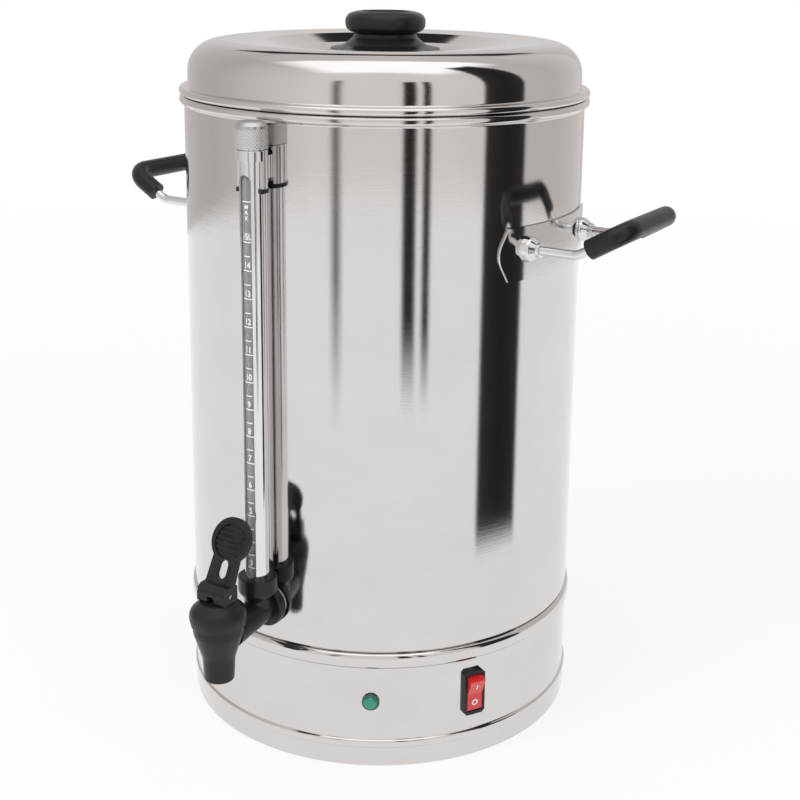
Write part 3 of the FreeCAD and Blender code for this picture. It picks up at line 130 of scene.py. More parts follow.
class Shade:
    """A material or world under construction, with one method that makes any node."""

    def __init__(self, tree):
        self.tree = tree
        tree.nodes.clear()

    def make(self, kind, settings=None, inputs=None, output=0):
        """A node of a kind, with its settings made first, then its inputs set or linked. It
        hands back the numbered or named output, if the node has any."""
        node = self.tree.nodes.new(kind)
        for name, setting in (settings or {}).items():
            if name == "stops":
                ramp = node.color_ramp
                while len(ramp.elements) < len(setting):
                    ramp.elements.new(0.5)
                for element, (place, colour) in zip(ramp.elements, setting):
                    element.position = place
                    element.color = (*colour, 1.0)
            else:
                setattr(node, name, setting)
        for name, given in (inputs or {}).items():
            if isinstance(given, Wire):
                self.tree.links.new(given.socket, node.inputs[name])
            else:
                node.inputs[name].default_value = given
        return Wire(self, node.outputs[output] if node.outputs else None)

    def place(self, shift=(0, 0, 0)):
        """Object coordinates, in metres, measured from a point."""
        spot = self.make("ShaderNodeTexCoord", output="Object")
        if any(shift):
            back = tuple(-value for value in shift)
            spot = self.make("ShaderNodeMapping", {"vector_type": "POINT"},
                             {"Vector": spot, "Location": back})
        return spot

    def parts(self, vector):
        """The x, y and z of a vector."""
        first = self.make("ShaderNodeSeparateXYZ", inputs={"Vector": vector})
        node = first.socket.node
        return [Wire(self, node.outputs[name]) for name in "XYZ"]

    def grain(self, vector, scale, stretch=(1, 1, 1), detail=3.0, rough=0.55):
        """Noise of a scale per metre, stretched along the axes."""
        if stretch != (1, 1, 1):
            vector = self.make("ShaderNodeMapping", {"vector_type": "POINT"},
                               {"Vector": vector, "Scale": stretch})
        return self.make("ShaderNodeTexNoise", {"noise_dimensions": "3D"},
                         {"Vector": vector, "Scale": scale, "Detail": detail, "Roughness": rough})

    def fill(self, node, sockets):
        """Sets or links a node's sockets, given as pairs of a number and a colour or wire."""
        for socket, given in sockets:
            if isinstance(given, Wire):
                self.tree.links.new(given.socket, node.inputs[socket])
            else:
                node.inputs[socket].default_value = (*given, 1.0)

    def tint(self, mask, low, high):
        """The colour low where the mask is 0 and high where it is 1."""
        mix = self.make("ShaderNodeMix", {"data_type": "RGBA", "blend_type": "MIX"},
                        {"Factor": mask}, output=2)
        self.fill(mix.socket.node, ((6, low), (7, high)))
        return mix

    def blend(self, share, first, second):
        """The first shader where the share is 0 and the second where it is 1."""
        mix = self.make("ShaderNodeMixShader", inputs={"Fac": share})
        self.fill(mix.socket.node, ((1, first), (2, second)))
        return mix

    def relief(self, height, distance, strength, under=None):
        """A normal bent by a height, over another normal if one is given."""
        inputs = {"Height": height, "Distance": distance, "Strength": strength}
        if under:
            inputs["Normal"] = under
        return self.make("ShaderNodeBump", inputs=inputs)

    def looked_at(self):
        """1 for rays from the camera, from a mirror or through glass, and 0 for the rest."""
        path = self.make("ShaderNodeLightPath").socket.node
        kinds = ("Is Camera Ray", "Is Glossy Ray", "Is Transmission Ray")
        camera, glossy, through = [Wire(self, path.outputs[kind]) for kind in kinds]
        return (camera + glossy + through).clipped()

    def surface(self, **sockets):
        """The closing Principled shader, with its sockets given by name."""
        inputs = {}
        for name, given in sockets.items():
            title = name.replace("_", " ").title().replace("Ior", "IOR")
            inputs[title] = (*given, 1.0) if isinstance(given, tuple) else given
        self.close(self.make("ShaderNodeBsdfPrincipled", inputs=inputs))

    def close(self, shader, kind="ShaderNodeOutputMaterial"):
        """Joins the finished shader to the output of the material or world."""
        self.make(kind, inputs={"Surface": shader})


def material(name):
    """A new material with an empty node tree."""
    stuff = bpy.data.materials.new(name)
    stuff.use_nodes = True
    return stuff, Shade(stuff.node_tree)


def from_axis(x, y):
    """The distance from an axis, given the two coordinates across it: the root of the sum of
    their squares."""
    return (x * x + y * y).root()


def mirror_steel():
    """Mirror-polished stainless sheet: faint level polishing lines, a slow waviness of the rolled
    wall, and smudges that dull the mirror a little. Inside the tank, and on the lid's sleeve that
    sits in it, the sheet is as rolled and dull: there the distance from the axis is less than the
    wall's, and the height is between the floor's and the rim's."""
    wall, floor, rim = 0.1345, 0.0855, 0.4275
    stuff, s = material("polished stainless steel")
    spot = s.place()
    x, y, z = s.parts(spot)
    within = (from_axis(x, y) < wall) * (z < rim) * (z > floor)
    lines = s.grain(spot, 5.0, stretch=(6, 6, 420), detail=4.0, rough=0.6)
    waves = s.grain(spot, 7.0, stretch=(1.5, 1.5, 0.35), detail=1.0, rough=0.4)
    smudge = s.grain(spot, 16.0, stretch=(1, 1, 1.6), detail=4.0, rough=0.6)
    bent = s.relief(waves, distance=0.0008, strength=0.5)
    colour = s.tint((smudge * 1.6 - 0.4).clipped(), (0.655, 0.628, 0.610), (0.715, 0.693, 0.680))
    s.surface(base_color=colour, metallic=1.0 - within * 0.7,
              roughness=0.045 + lines * 0.05 + smudge * 0.02 + within * 0.3,
              normal=s.relief(lines, distance=0.00004, strength=0.35, under=bent))
    return stuff


def bright_chrome():
    """Plated tube and collar: clean mirror with faint draw lines along its length."""
    stuff, s = material("bright chrome")
    spot = s.place()
    lines = s.grain(spot, 4.0, stretch=(260, 260, 3), rough=0.5)
    haze = s.grain(spot, 30.0)
    s.surface(base_color=s.tint(haze, (0.70, 0.70, 0.71), (0.80, 0.80, 0.80)), metallic=1.0,
              roughness=0.05 + haze * 0.05,
              normal=s.relief(lines, distance=0.00003, strength=0.4))
    return stuff


def satin_steel():
    """Brushed sheet: fine level hairlines that spread the highlights."""
    stuff, s = material("satin steel")
    spot = s.place()
    lines = s.grain(spot, 9.0, stretch=(8, 8, 520), detail=5.0, rough=0.65)
    cloud = s.grain(spot, 12.0)
    s.surface(base_color=s.tint(lines, (0.50, 0.485, 0.47), (0.66, 0.645, 0.63)), metallic=1.0,
              roughness=0.2 + cloud * 0.12,
              normal=s.relief(lines, distance=0.00006, strength=0.5))
    return stuff


def zinc_steel():
    """Zinc-plated fixings: bluish grey with a mottled crystal bloom."""
    stuff, s = material("zinc plated steel")
    spot = s.place()
    bloom = s.make("ShaderNodeTexVoronoi", {"feature": "F1"}, {"Vector": spot, "Scale": 900.0})
    cloud = s.grain(spot, 90.0)
    s.surface(base_color=s.tint(cloud, (0.42, 0.44, 0.46), (0.66, 0.68, 0.70)), metallic=1.0,
              roughness=0.28 + bloom * 0.2,
              normal=s.relief(bloom, distance=0.00004, strength=0.4))
    return stuff


def knurled_chrome():
    """The gauge cap: two families of grooves that cross at a slant round the cap, so that they
    leave small diamonds, worn to a satin sheen. The diamonds' tops are painted paler than the
    grooves, which is painted shade in the grooves. The grooves fade where the top face and the
    plain top ring begin."""
    top_face, plain_ring, fade = 0.0093, 0.0042, 4000.0
    pitch, rows = 40.0, 2700.0
    stuff, s = material("knurled chrome")
    x, y, z = s.parts(s.place((0.0, -GAUGE_OUT, 0.0)))
    around = y.bearing(x)
    left = (around * pitch + z * rows).sine()
    right = (around * pitch - z * rows).sine()
    diamonds = (left + right) * 0.25 + 0.5
    side = ((from_axis(x, y) - top_face) * fade).clipped()
    knurl = diamonds * side * ((CAP_TOP - plain_ring - z) * fade).clipped()
    # Painted shade: the grooves, the plain top face and the plain ring take the darker colour, and
    # the diamonds' tops take the paler one
    s.surface(base_color=s.tint(knurl, (0.56, 0.55, 0.54), (0.82, 0.81, 0.80)), metallic=1.0,
              roughness=0.30 - knurl * 0.08,
              normal=s.relief(knurl, distance=0.00035, strength=0.85))
    return stuff


def moulded_plastic(name, low, high, rough, coarse, shine):
    """Dark moulded plastic: fine orange peel, with a tone and a sheen that change slowly over
    it."""
    stuff, s = material(name)
    spot = s.place()
    peel = s.grain(spot, coarse, detail=4.0, rough=0.6)
    wear = s.grain(spot, 34.0, detail=2.0)
    s.surface(base_color=s.tint(wear, low, high), roughness=rough + wear * 0.14 - peel * 0.05,
              specular_ior_level=shine, normal=s.relief(peel, distance=0.00006, strength=0.5))
    return stuff


def soft_rubber(name, low, high):
    """Rubber or silicone: matt, with a dusty bloom."""
    stuff, s = material(name)
    bloom = s.grain(s.place(), 120.0, detail=5.0, rough=0.65)
    s.surface(base_color=s.tint(bloom, low, high), roughness=0.62 + bloom * 0.22,
              normal=s.relief(bloom, distance=0.00008, strength=0.5))
    return stuff


def clear_glass():
    """Drawn glass tube: a thin wall that shows what is behind it, with faint streaks along it.
    Where it is seen edge on it grows opaque and near white, which is a painted reflection
    standing for the glass's bright edges."""
    stuff, s = material("clear glass")
    streak = s.grain(s.place(), 6.0, stretch=(200, 200, 2), detail=2.0)
    edge = s.make("ShaderNodeLayerWeight", inputs={"Blend": 0.35}, output=1)
    # Painted reflection: opaque near-white colour that grows as the glass is seen edge on
    s.surface(base_color=s.tint(streak, (0.86, 0.89, 0.88), (0.95, 0.97, 0.97)),
              roughness=0.02 + streak * 0.03, alpha=(edge ** 2.0 * 0.7 + 0.10).clipped(),
              normal=s.relief(streak, distance=0.00002, strength=0.3))
    return stuff


def gauge_tube():
    """The gauge's chromed guard: bright outside, and dull grey inside, which is what the glass
    shows between its figures."""
    bore = 0.0074
    stuff, s = material("gauge guard")
    lines = s.grain(s.place(), 4.0, stretch=(260, 260, 3), rough=0.5)
    x, y, _ = s.parts(s.place((0.0, -GAUGE_OUT, 0.0)))
    within = from_axis(x, y) < bore
    chrome = s.tint(lines, (0.72, 0.72, 0.73), (0.80, 0.80, 0.80))
    dull = s.tint(lines, (0.56, 0.53, 0.51), (0.68, 0.65, 0.63))
    s.surface(base_color=s.tint(within, chrome, dull), metallic=1.0 - within * 0.9,
              roughness=0.06 + lines * 0.04 + within * 0.4,
              normal=s.relief(lines, distance=0.00003, strength=0.4))
    return stuff


def pilot_glass():
    """The pilot's green lens: a dark rim, a thin dark line inside it and a clear teal middle, by
    the distance from the lens's own axis, which points out from the urn's."""
    rim_from, line_from, line_to = 0.80, 0.70, 0.76
    lens = NODES["pilot_lens"]
    stuff, s = material("green lens")
    spots = [lens.matrix_world @ Vector(corner) for corner in lens.bound_box]
    centre = sum(spots, Vector()) / len(spots)
    out = Vector((centre.x, centre.y, 0)).normalized()
    x, y, z = s.parts(s.place(tuple(centre)))
    along = x * out.x + y * out.y
    away = (x * x + y * y + z * z - along * along).size().root()
    half = max(spot.z for spot in spots) - centre.z
    rim = away > half * rim_from
    line = (away > half * line_from) * (away < half * line_to)
    flow = s.grain(s.place(), 140.0, stretch=(1, 1, 2.5))
    teal = s.tint(flow, (0.004, 0.16, 0.105), (0.01, 0.25, 0.17))
    tone = s.tint(rim, s.tint(line, teal, (0.01, 0.05, 0.04)), (0.008, 0.055, 0.042))
    s.surface(base_color=tone, roughness=0.12 + flow * 0.1, coat_weight=0.4, coat_roughness=0.06,
              emission_color=tone, emission_strength=0.25,
              normal=s.relief(flow, distance=0.00005, strength=0.4))
    return stuff


def ribbed_black(name, ribs):
    """Black moulded plastic with ribs: a height worked out from the place by the given rule."""
    stuff, s = material(name)
    spot = s.place()
    peel = s.grain(spot, 1500.0, detail=4.0, rough=0.6)
    wear = s.grain(spot, 34.0, detail=2.0)
    skin = s.relief(peel, distance=0.00006, strength=0.5)
    s.surface(base_color=s.tint(wear, *GLOSS_BLACK), roughness=0.28 + wear * 0.14,
              specular_ior_level=0.32,
              normal=s.relief(ribs(s), distance=0.0004, strength=0.6, under=skin))
    return stuff


def bonnet_ribs(s):
    """Fine upright ribs round the bonnet's skirt: a wave of the angle about the tap's axis."""
    foot, top, count, fade = 0.1135, 0.1212, 64.0, 1500.0
    x, y, z = s.parts(s.place((0.0, -TAP_OUT, 0.0)))
    skirt = ((top - z) * fade).clipped() * ((z - foot) * fade).clipped()
    return ((y.bearing(x) * count).sine() * 0.5 + 0.5) * skirt


def pad_ribs(s):
    """Wavy ribs across the lever's pad: a wave of the height, bent by a wave of x, inside a circle
    about the pad's middle."""
    middle, radius, fade = 0.168, 0.0102, 900.0
    rows, wobble, bend = 2600.0, 420.0, 1.6
    x, _, z = s.parts(s.place((0.0, 0.0, middle)))
    waves = (z * rows + (x * wobble).sine() * bend).sine() * 0.5 + 0.5
    return waves * ((radius - from_axis(x, z)) * fade).clipped()


def plated_brass():
    """Contact pins: brass under a thin nickel plate that wears yellow in places."""
    stuff, s = material("plated brass")
    worn = s.grain(s.place(), 260.0, detail=4.0)
    s.surface(base_color=s.tint(worn, (0.62, 0.52, 0.32), (0.76, 0.72, 0.62)), metallic=1.0,
              roughness=0.18 + worn * 0.15,
              normal=s.relief(worn, distance=0.00003, strength=0.4))
    return stuff


def rocker_red():
    """The rocker's glossy red moulding with slight flow marks, lit a little from inside."""
    stuff, s = material("red rocker")
    flow = s.grain(s.place(), 140.0, stretch=(1, 1, 2.5))
    red = s.tint(flow, (0.50, 0.012, 0.014), (0.66, 0.03, 0.03))
    s.surface(base_color=red, roughness=0.2 + flow * 0.1, coat_weight=0.5, coat_roughness=0.06,
              emission_color=red, emission_strength=0.06,
              normal=s.relief(flow, distance=0.00005, strength=0.4))
    return stuff


def cast_metal():
    """As-cast aluminium: a pale pitted skin."""
    stuff, s = material("cast aluminium")
    pits = s.grain(s.place(), 700.0, detail=5.0, rough=0.7)
    s.surface(base_color=s.tint(pits, (0.42, 0.42, 0.42), (0.62, 0.62, 0.61)), metallic=1.0,
              roughness=0.42 + pits * 0.2,
              normal=s.relief(pits, distance=0.0002, strength=0.6))
    return stuff


def printed_white():
    """Screen-printed ink with thin spots."""
    stuff, s = material("white print")
    thin = s.grain(s.place(), 900.0)
    s.surface(base_color=s.tint(thin, (0.80, 0.80, 0.79), (0.93, 0.93, 0.92)),
              roughness=0.5 + thin * 0.15,
              normal=s.relief(thin, distance=0.00002, strength=0.4))
    return stuff


# One finish for each material slot of the record
FINISHES = {
    "mirror_steel": mirror_steel(),
    "bright_steel": bright_chrome(),
    "satin_steel": satin_steel(),
    "zinc_steel": zinc_steel(),
    "black_plastic": moulded_plastic("black gloss plastic", *GLOSS_BLACK,
                                     rough=0.26, coarse=1500.0, shine=0.32),
    "valve_plastic": moulded_plastic("valve plastic", (0.05, 0.05, 0.05), (0.09, 0.09, 0.09),
                                     rough=0.42, coarse=1200.0, shine=0.4),
    "inlet_plastic": moulded_plastic("inlet plastic", (0.014, 0.014, 0.014),
                                     (0.028, 0.028, 0.028), rough=0.45, coarse=1300.0,
                                     shine=0.35),
    "silicone": soft_rubber("silicone", (0.62, 0.60, 0.56), (0.76, 0.74, 0.70)),
    "foot_rubber": soft_rubber("foot rubber", (0.02, 0.02, 0.02), (0.05, 0.05, 0.05)),
    "clear_glass": clear_glass(),
    "red_plastic": rocker_red(),
    "green_lens": pilot_glass(),
    "pin_brass": plated_brass(),
    "cast_aluminium": cast_metal(),
    "control_plastic": moulded_plastic("control plastic", (0.11, 0.085, 0.06),
                                       (0.19, 0.15, 0.11), rough=0.5, coarse=1000.0, shine=0.4),
}
# Pieces whose look differs from the rest of their slot
OWN_FINISHES = {
    "gauge_cap": knurled_chrome(),
    "gauge_shield": gauge_tube(),
    "tap_bonnet": ribbed_black("ribbed bonnet", bonnet_ribs),
    "tap_lever": ribbed_black("ribbed lever", pad_ribs),
    "left_handle_plate": FINISHES["mirror_steel"],
    "right_handle_plate": FINISHES["mirror_steel"],
}
PRINT = printed_white()


def dress_solids():
    """Gives each solid of the frame its finish."""
    for part in frame["record"]["subparts"]:
        finish = OWN_FINISHES.get(part["node"], FINISHES[part["material_slot"]])
        for holder in NODES[part["node"]].material_slots:
            holder.material = finish


def add_piece(name, points, faces, stuff, body, slot=None):
    """A mesh piece from its points and faces, in the row frame, that rides on a body."""
    mesh = bpy.data.meshes.new(name)
    mesh.from_pydata(np.asarray(points).tolist(), [], faces)
    mesh.validate()
    mesh.materials.append(stuff)
    piece = bpy.data.objects.new(name, mesh)
    SCENE.collection.objects.link(piece)
    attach(piece, body)
    return piece


def softened(outline):
    """An outline whose corners are rounded: each point is a radius, a height and the radius of
    its corner, and a round corner is the arc that touches both of its sides, in eight steps."""
    spots = [np.array(point[:2], float) for point in outline]
    path = []
    for number, point in enumerate(outline):
        here, size = spots[number], point[2] if len(point) > 2 else 0.0
        if not size:
            path.append(here)
            continue
        back, ahead = spots[number - 1] - here, spots[(number + 1) % len(spots)] - here
        back, ahead = back / np.linalg.norm(back), ahead / np.linalg.norm(ahead)
        half = math.acos(float(np.clip(back @ ahead, -1, 1))) / 2
        inward = (back + ahead) / np.linalg.norm(back + ahead)
        centre = here + inward * size / math.sin(half)
        turn = np.linspace(-1, 1, CORNER_STEPS + 1)[:, None] * (math.pi / 2 - half)
        side = (ahead - back) / np.linalg.norm(ahead - back)
        path.extend(centre + size * (side * np.sin(turn) - inward * np.cos(turn)))
    return np.array(path)


def turned(name, outline, stuff, body, slot, steps=192):
    """A ring turned from a closed outline: at each angle a, x is the radius times cos a and y the
    radius times sin a, about the urn's upright axis, and z is the height. The outline goes out
    along its bottom and up its outer side. Corners sharper than 35 degrees keep their edge."""
    path = softened(outline) / PER_METRE
    count = len(path)
    angle = np.linspace(0, 2 * np.pi, steps, endpoint=False)[:, None]
    grid = np.stack([path[:, 0] * np.cos(angle), path[:, 0] * np.sin(angle),
                     np.broadcast_to(path[:, 1], (steps, count))], -1)
    at = np.arange(steps * count).reshape(steps, count)
    on, up = np.roll(at, -1, 0), np.roll(at, -1, 1)
    faces = np.stack([at, on, np.roll(on, -1, 1), up], -1).reshape(-1, 4)
    piece = add_piece(name, grid.reshape(-1, 3), faces.tolist(), stuff, body, slot)
    piece.data.shade_smooth()
    piece.data.set_sharp_from_angle(angle=SHARP_EDGE)
    return piece


def metal_shells():
    """The tank, the base and the lid with clean rolled beads, in place of the plain solids. The
    solids' openings for the tap, gauge, lamp, switch and inlet are left out."""
    steel = FINISHES["mirror_steel"]
    wall, inside = 135, 134.2

    floor, rim, bead = 86.8, 428, 138.2
    tank = turned("tank_shell", [
        (AXIS, 83.5), (120, 83.5, 3), (120.6, 71), (131.5, 71), (131.5, 80.8), (inside, 81.2),
        (wall, 82.6, 1.2), (wall, 422.2, 1.5), (bead, 422.9, 2.4), (bead, rim, 2.4),
        (inside, rim), (inside, floor, 6), (AXIS, floor)],
        steel, "urn", "mirror_steel")

    foot, foot_bead, step, lip, mouth = 135.6, 136.5, 137.2, 132.6, 132
    base = turned("base_skirt", [
        (lip, 0.4), (foot, 0.4, 0.8), (foot, 13.6, 0.8), (foot_bead, 14.6, 1.2),
        (foot_bead, 18.4, 1.5), (wall, 19.6, 1.2), (wall, 70.9, 1.2), (step, 71.9, 3.4),
        (step, 80.4, 3.4), (134.8, 81.0), (mouth, 81.0), (mouth, 79), (inside, 76),
        (inside, 5), (lip, 4)],
        steel, "urn", "mirror_steel")

    sleeve_in, sleeve, edge, hole = 131.6, 132.4, 138.3, 2.6
    lid = turned("lid_shell", [
        (sleeve_in, 419.2), (sleeve, 419.2), (sleeve, 428.3), (edge, 428.4, 2.2),
        (edge, 433.2, 2.3), (132.5, 433.6, 1.2), (sleeve, 461, 20), (108, 464, 20),
        (82.5, 462.8, 3), (66, 457, 8), (hole, 456.8), (hole, 456.0), (66.4, 456.2, 8),
        (82.4, 462, 3), (107.5, 463.2, 20), (sleeve_in, 460.4, 19.4)],
        steel, "lid", "mirror_steel")

    for piece, plain in ((tank, "tank"), (base, "base_shell"), (lid, "lid")):
        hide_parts(plain)


def round_knob():
    """The knob: a bell-shaped foot with a thin edge, a waist, and a thick round head with a
    shallow dish in its top."""
    seat, foot, head, hole = 456.9, 36.8, 27, 2.8
    knob = turned("knob_form", [
        (hole, seat), (foot, seat), (foot, 458.2, 0.5), (28, 460, 8), (21.2, 465.6, 4),
        (21, 468.2, 1.2), (head, 469.8, 6), (head, 480.2, 6), (19, 482.4, 3), (17, 482.4, 0.8),
        (15.4, 480.8, 1.5), (AXIS, 480.4), (AXIS, 470), (hole, 470)],
        FINISHES["black_plastic"], "lid", "black_plastic", steps=128)
    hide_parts("lid_knob")


def flat_words(words, height):
    """Points and triangles of a line of lettering, flat and centred on the origin. A capital is
    0.73 of the font's size, and the strokes are made a little bolder."""
    capital_share, boldness = 0.73, 0.035
    curve = bpy.data.curves.new("lettering", "FONT")
    curve.body = words
    curve.size = height / capital_share
    curve.align_x, curve.align_y = "CENTER", "CENTER"
    curve.offset = height * boldness
    holder = bpy.data.objects.new("lettering", curve)
    SCENE.collection.objects.link(holder)
    depsgraph = bpy.context.evaluated_depsgraph_get()
    mesh = bpy.data.meshes.new_from_object(holder.evaluated_get(depsgraph))
    points = np.empty(len(mesh.vertices) * 3)
    mesh.vertices.foreach_get("co", points)
    faces = [list(face.vertices) for face in mesh.polygons]
    bpy.data.objects.remove(holder)
    bpy.data.curves.remove(curve)
    bpy.data.meshes.remove(mesh)
    return points.reshape(-1, 3), faces


def flat_bar(width, height, steps=8):
    """Points and faces of a flat bar in steps along its width, so that it can bend round."""
    across = np.linspace(-width / 2, width / 2, steps + 1)
    low = np.stack([across, np.full_like(across, -height / 2), 0 * across], -1)
    high = low + [0, height, 0]
    faces = [[i, i + 1, i + steps + 2, i + steps + 1] for i in range(steps)]
    return np.concatenate([low, high]), faces


def onto_glass(flat, rise):
    """Wraps flat points and their faces round the gauge glass: x runs round it and y up it, from
    a height; the angle is x over the radius, and the print stands 0.05 mm off the glass."""
    points, faces = flat
    radius = GLASS_RADIUS + 0.00005
    angle = points[:, 0] / radius
    return np.stack([radius * np.sin(angle), -GAUGE_OUT - radius * np.cos(angle),
                     points[:, 1] + rise], -1), faces


def gather(prints):
    """One list of points and one of faces out of several."""
    points, faces, count = [], [], 0
    for some, flats in prints:
        points.append(some)
        faces += [[corner + count for corner in flat] for flat in flats]
        count += len(some)
    return np.concatenate(points), faces


def gauge_scale():
    """Printed scale: a long tick and a figure for each litre, a short tick at each half, and the
    top mark with its three stacked letters."""
    first, last, full = 3, 15, 16.4
    low, litre = 0.1385, 0.01771
    long_tick, short_tick, thick = 0.0070, 0.0046, 0.0007
    figure, narrow, lift = 0.0040, 0.84, 0.0032
    letter_height, letter_step = 0.0026, 0.0034
    top = low + (full - first) * litre
    prints = []
    for number in range(first, last + 1):
        rise = low + (number - first) * litre
        prints.append(onto_glass(flat_bar(long_tick, thick), rise))
        points, faces = flat_words(str(number) if number < last else "15L", figure)
        points[:, 0] *= narrow
        prints.append(onto_glass((points, faces), rise + lift))
        if number < last:
            prints.append(onto_glass(flat_bar(short_tick, thick), rise + litre / 2))
    prints.append(onto_glass(flat_bar(long_tick, thick), top))
    for number, letter in enumerate("MAX"):
        prints.append(onto_glass(flat_words(letter, letter_height),
                                 top - letter_step - number * letter_step))
    add_piece("gauge_scale_print", *gather(prints), PRINT, "urn")


def rocker_marks():
    """The bar and the ring printed on the rocker's face, above and below its middle. The face is
    a shallow V about the pivot: it rises from the middle to both ends, at the slope."""
    height, bezel, sunk = 0.047, 0.003, 0.0024
    tilt, slope = math.radians(12), math.radians(10.5)
    face_depth, half_length, end_rise, print_rise = 0.0024 + 0.0004, 0.0118, 0.0022, 0.00012
    mark_height, mark_place = 0.0040, 0.0062
    out = Vector((math.cos(SWITCH_BEARING), math.sin(SWITCH_BEARING), 0))
    side = Vector((-out.y, out.x, 0))
    pivot = Vector((0, 0, height)) + out * (TANK_RADIUS + bezel - sunk)
    up = Vector((0, 0, 1)) * math.cos(tilt) + out * math.sin(tilt)
    face = out * math.cos(tilt) - Vector((0, 0, 1)) * math.sin(tilt)
    prints = []
    for along, word, sign in ((mark_place, "I", 1), (-mark_place, "O", -1)):
        points, faces = flat_words(word, mark_height)
        lean = up * math.cos(slope) + face * math.sin(slope) * sign
        depth = face_depth + abs(along) / half_length * end_rise + print_rise
        centre = pivot + up * along + face * depth
        spots = [centre + side * p[0] + lean * p[1] for p in points]
        prints.append((np.array([list(spot) for spot in spots]), faces))
    add_piece("rocker_marks", *gather(prints), PRINT, "rocker")


dress_solids()
metal_shells()
round_knob()
gauge_scale()
rocker_marks()


# The camera looks from the photograph's side of the urn. Its focal length is in pixels of an
# image 800 wide, and its shift is a share of that width.
CAMERA_TURN = math.radians(32.5)
FOCAL, IMAGE_WIDTH, SENSOR_WIDTH = 1426.4, 800.0, 36.0
ROLL, PITCH, YAW = math.radians(0.648), math.radians(13.921), math.radians(0.694)
REACH, HEIGHT, SHIFT = 7.2 * TANK_RADIUS, TANK_RIM + 0.772 * TANK_RADIUS, -0.14


def aim_camera():
    """Looks from its turn round the urn, down by the pitch, a little to the right of the axis."""
    ahead = Vector((math.sin(YAW) * math.cos(PITCH), math.cos(YAW) * math.cos(PITCH),
                    -math.sin(PITCH)))
    right = Vector((math.cos(YAW), -math.sin(YAW), 0))
    up = right.cross(ahead)
    right, up = (right * math.cos(ROLL) + up * math.sin(ROLL),
                 up * math.cos(ROLL) - right * math.sin(ROLL))
    round_urn = Matrix.Rotation(CAMERA_TURN, 4, "Z")
    axes = Matrix((right, up, -ahead)).transposed().to_4x4()
    data = bpy.data.cameras.new("photo_camera")
    data.sensor_width = SENSOR_WIDTH
    data.lens = FOCAL * SENSOR_WIDTH / IMAGE_WIDTH
    data.shift_y = SHIFT
    data.clip_end = 60.0
    camera = bpy.data.objects.new("photo_camera", data)
    camera.matrix_world = round_urn @ Matrix.Translation((0, -REACH, HEIGHT)) @ axes
    SCENE.collection.objects.link(camera)
    SCENE.camera = camera


def studio_floor():
    """A white seamless floor: matt, with most of what the camera and mirrors see of it an even
    white, so that it keeps a faint shadow near the urn. The white share grows with the distance
    from the urn's axis."""
    half, near_share = 20.0, 0.8
    stuff, s = material("pale floor")
    cloud = s.grain(s.place(), 3.0)
    matt = s.make("ShaderNodeBsdfDiffuse", inputs={
        "Color": s.tint(cloud, (0.90, 0.90, 0.90), (0.93, 0.93, 0.93))})
    white = s.make("ShaderNodeEmission", inputs={"Color": (1, 1, 1, 1), "Strength": 1.0})
    x, y, _ = s.parts(s.place())
    far = (from_axis(x, y) * 0.6 - 0.2).clipped()
    s.close(s.blend(s.looked_at() * (far * (1.0 - near_share) + near_share), matt, white))
    corners = [(-half, -half, 0), (half, -half, 0), (half, half, 0), (-half, half, 0)]
    mesh = bpy.data.meshes.new("floor")
    mesh.from_pydata(corners, [], [(0, 1, 2, 3)])
    mesh.materials.append(stuff)
    floor = bpy.data.objects.new("floor", mesh)
    SCENE.collection.objects.link(floor)


def studio_card(name, low, high, stops, strength=1.0, side_fade=0.0, foot_fade=0.0):
    """A card between two rows of points that only mirrors and glass see. Its brightness runs
    along it by the stops, and it melts away over a share of its width at both sides and of its
    height at its foot."""
    least_fade = 0.001
    stuff, s = material(name)
    steps = len(low) - 1
    mesh = bpy.data.meshes.new(name)
    mesh.from_pydata(np.concatenate([low, high]).tolist(), [],
                     [(i, i + 1, i + steps + 2, i + steps + 1) for i in range(steps)])
    layer = mesh.uv_layers.new(name="along")
    corners = np.empty(len(mesh.loops), int)
    mesh.loops.foreach_get("vertex_index", corners)
    row, column = corners // (steps + 1), corners % (steps + 1)
    layer.data.foreach_set("uv", np.stack([column / steps, row], -1).ravel())
    along, rise, _ = s.parts(s.make("ShaderNodeUVMap", {"uv_map": "along"}))
    colour = s.make("ShaderNodeValToRGB", {"stops": stops}, {"Fac": along})
    cover = s.make("ShaderNodeEmission", inputs={"Color": colour, "Strength": strength})
    if side_fade or foot_fade:
        edge = (0.5 - (along - 0.5).size()) / max(side_fade, least_fade)
        share = edge.clipped() * (rise / max(foot_fade, least_fade)).clipped()
        clear = s.make("ShaderNodeBsdfTransparent")
        cover = s.blend(share, clear, cover)
    s.close(cover)
    mesh.materials.append(stuff)
    card = bpy.data.objects.new(name, mesh)
    for ray in ("camera", "diffuse", "shadow", "volume_scatter"):
        setattr(card, "visible_" + ray, False)
    SCENE.collection.objects.link(card)


def round_card(name, radius, start, end, foot, top, stops, side_fade=0.0, foot_fade=0.0):
    """A curved card round the urn, at a radius. Its ends are bearings from the camera's."""
    angle = CAMERA_TURN + np.radians(np.linspace(start, end, CARD_POINTS))
    ring = np.stack([radius * np.sin(angle), -radius * np.cos(angle)], -1)
    low, high = [np.column_stack([ring, np.full(CARD_POINTS, height)]) for height in (foot, top)]
    studio_card(name, low, high, stops, side_fade=side_fade, foot_fade=foot_fade)


def flat_card(name, near, far, stops, strength=1.0, fade=0.0):
    """A straight card over or behind the urn: its two ends are given as half a width, a place
    ahead of the urn as the camera looks, and a height."""
    rows = []
    for half, ahead, height in (near, far):
        across = np.linspace(-half, half, CARD_POINTS)
        rows.append(np.column_stack([
            across * math.cos(CAMERA_TURN) - ahead * math.sin(CAMERA_TURN),
            across * math.sin(CAMERA_TURN) + ahead * math.cos(CAMERA_TURN),
            np.full(CARD_POINTS, height)]))
    studio_card(name, *rows, stops, strength, side_fade=fade, foot_fade=fade)


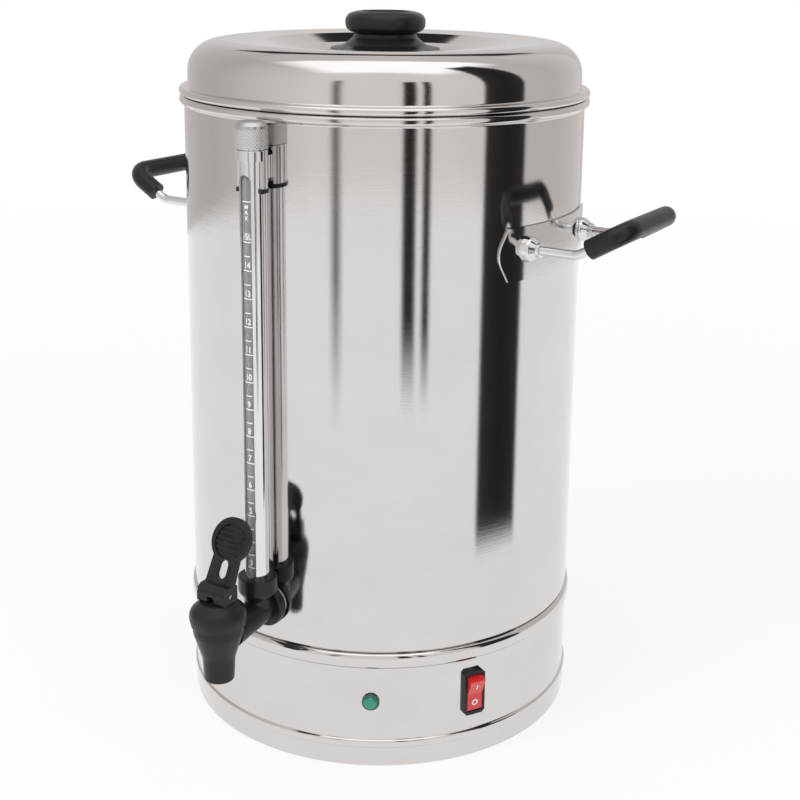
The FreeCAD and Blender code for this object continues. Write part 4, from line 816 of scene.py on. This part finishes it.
def studio_world():
    """White where the camera, mirrors and glass see it, and a plain even light elsewhere."""
    light = 0.7
    world = bpy.data.worlds.new("studio")
    world.use_nodes = True
    SCENE.world = world
    s = Shade(world.node_tree)
    glow = s.make("ShaderNodeBackground", inputs={
        "Color": (1, 1, 1, 1), "Strength": s.looked_at() * (1.0 - light) + light})
    s.close(glow, "ShaderNodeOutputWorld")


def soft_lamp(name, place, aim, size, power):
    """A square soft box at a place, turned to a point, which mirrors don't show."""
    data = bpy.data.lights.new(name, "AREA")
    data.size, data.energy = size, power
    lamp = bpy.data.objects.new(name, data)
    lamp.visible_glossy = False
    turn = (Vector(aim) - Vector(place)).to_track_quat("-Z", "Y").to_matrix().to_4x4()
    lamp.matrix_world = Matrix.Translation(place) @ turn
    SCENE.collection.objects.link(lamp)


def grey(value):
    """A warm grey of a brightness."""
    return (value, value * 0.965, value * 0.945)


def shades(*values):
    """Stops of warm grey at even places along a card, from one end to the other."""
    return [(number / (len(values) - 1), grey(value)) for number, value in enumerate(values)]


PALE = shades(0.62, 0.72, 0.62)
DARK = shades(0.035, 0.02, 0.03)
GREY = shades(0.2, 0.16, 0.2)
WHITE = [(0.0, (1, 1, 1)), (0.5, (1, 1, 1)), (1.0, (1, 1, 1))]
WALLS = [(0.00, grey(0.62)), (0.14, grey(0.56)), (0.24, grey(0.70)), (0.37, grey(0.86)),
         (0.60, grey(0.86)), (0.70, grey(0.80)), (0.76, grey(0.66)), (0.86, grey(0.62)),
         (1.00, grey(0.75))]

aim_camera()
studio_floor()
studio_world()

# Pale walls and a ceiling all round, a white soft box over the front, and dark cards whose
# reflections make the upright bands in the steel
round_card("studio_walls", radius=1.6, start=-150, end=150, foot=-0.4, top=2.2, stops=WALLS)
round_card("studio_back", radius=1.6, start=150, end=210, foot=-0.4, top=2.2, stops=PALE)
flat_card("studio_ceiling", (1.7, -1.6, 2.2), (1.7, 1.6, 2.2), PALE)
flat_card("soft_box", (0.9, -1.0, 1.5), (0.9, 0.15, 1.5), WHITE, strength=1.45, fade=0.2)
round_card("dark_flag", radius=0.41, start=47.5, end=72.5, foot=0.0, top=1.1, stops=DARK,
           side_fade=0.04, foot_fade=0.02)
round_card("dark_stand_left", radius=0.54, start=8.4, end=16.0, foot=0.08, top=0.62, stops=DARK,
           side_fade=0.16, foot_fade=0.14)
round_card("dark_stand_right", radius=0.54, start=18.2, end=23.0, foot=0.08, top=0.62, stops=DARK,
           side_fade=0.22, foot_fade=0.14)
round_card("grey_stand", radius=0.54, start=-27.0, end=-19.5, foot=0.06, top=0.62, stops=GREY,
           side_fade=0.45, foot_fade=0.25)
flat_card("dark_panel", (0.5, 1.0, 1.06), (0.5, 1.02, 1.46), DARK, fade=0.03)
soft_lamp("key", (-0.7, -1.9, 1.9), (0, 0, 0.25), size=1.1, power=26)
soft_lamp("fill", (1.9, -0.8, 1.4), (0, 0, 0.25), size=1.2, power=12)
SCENE.view_settings.view_transform = "Standard"
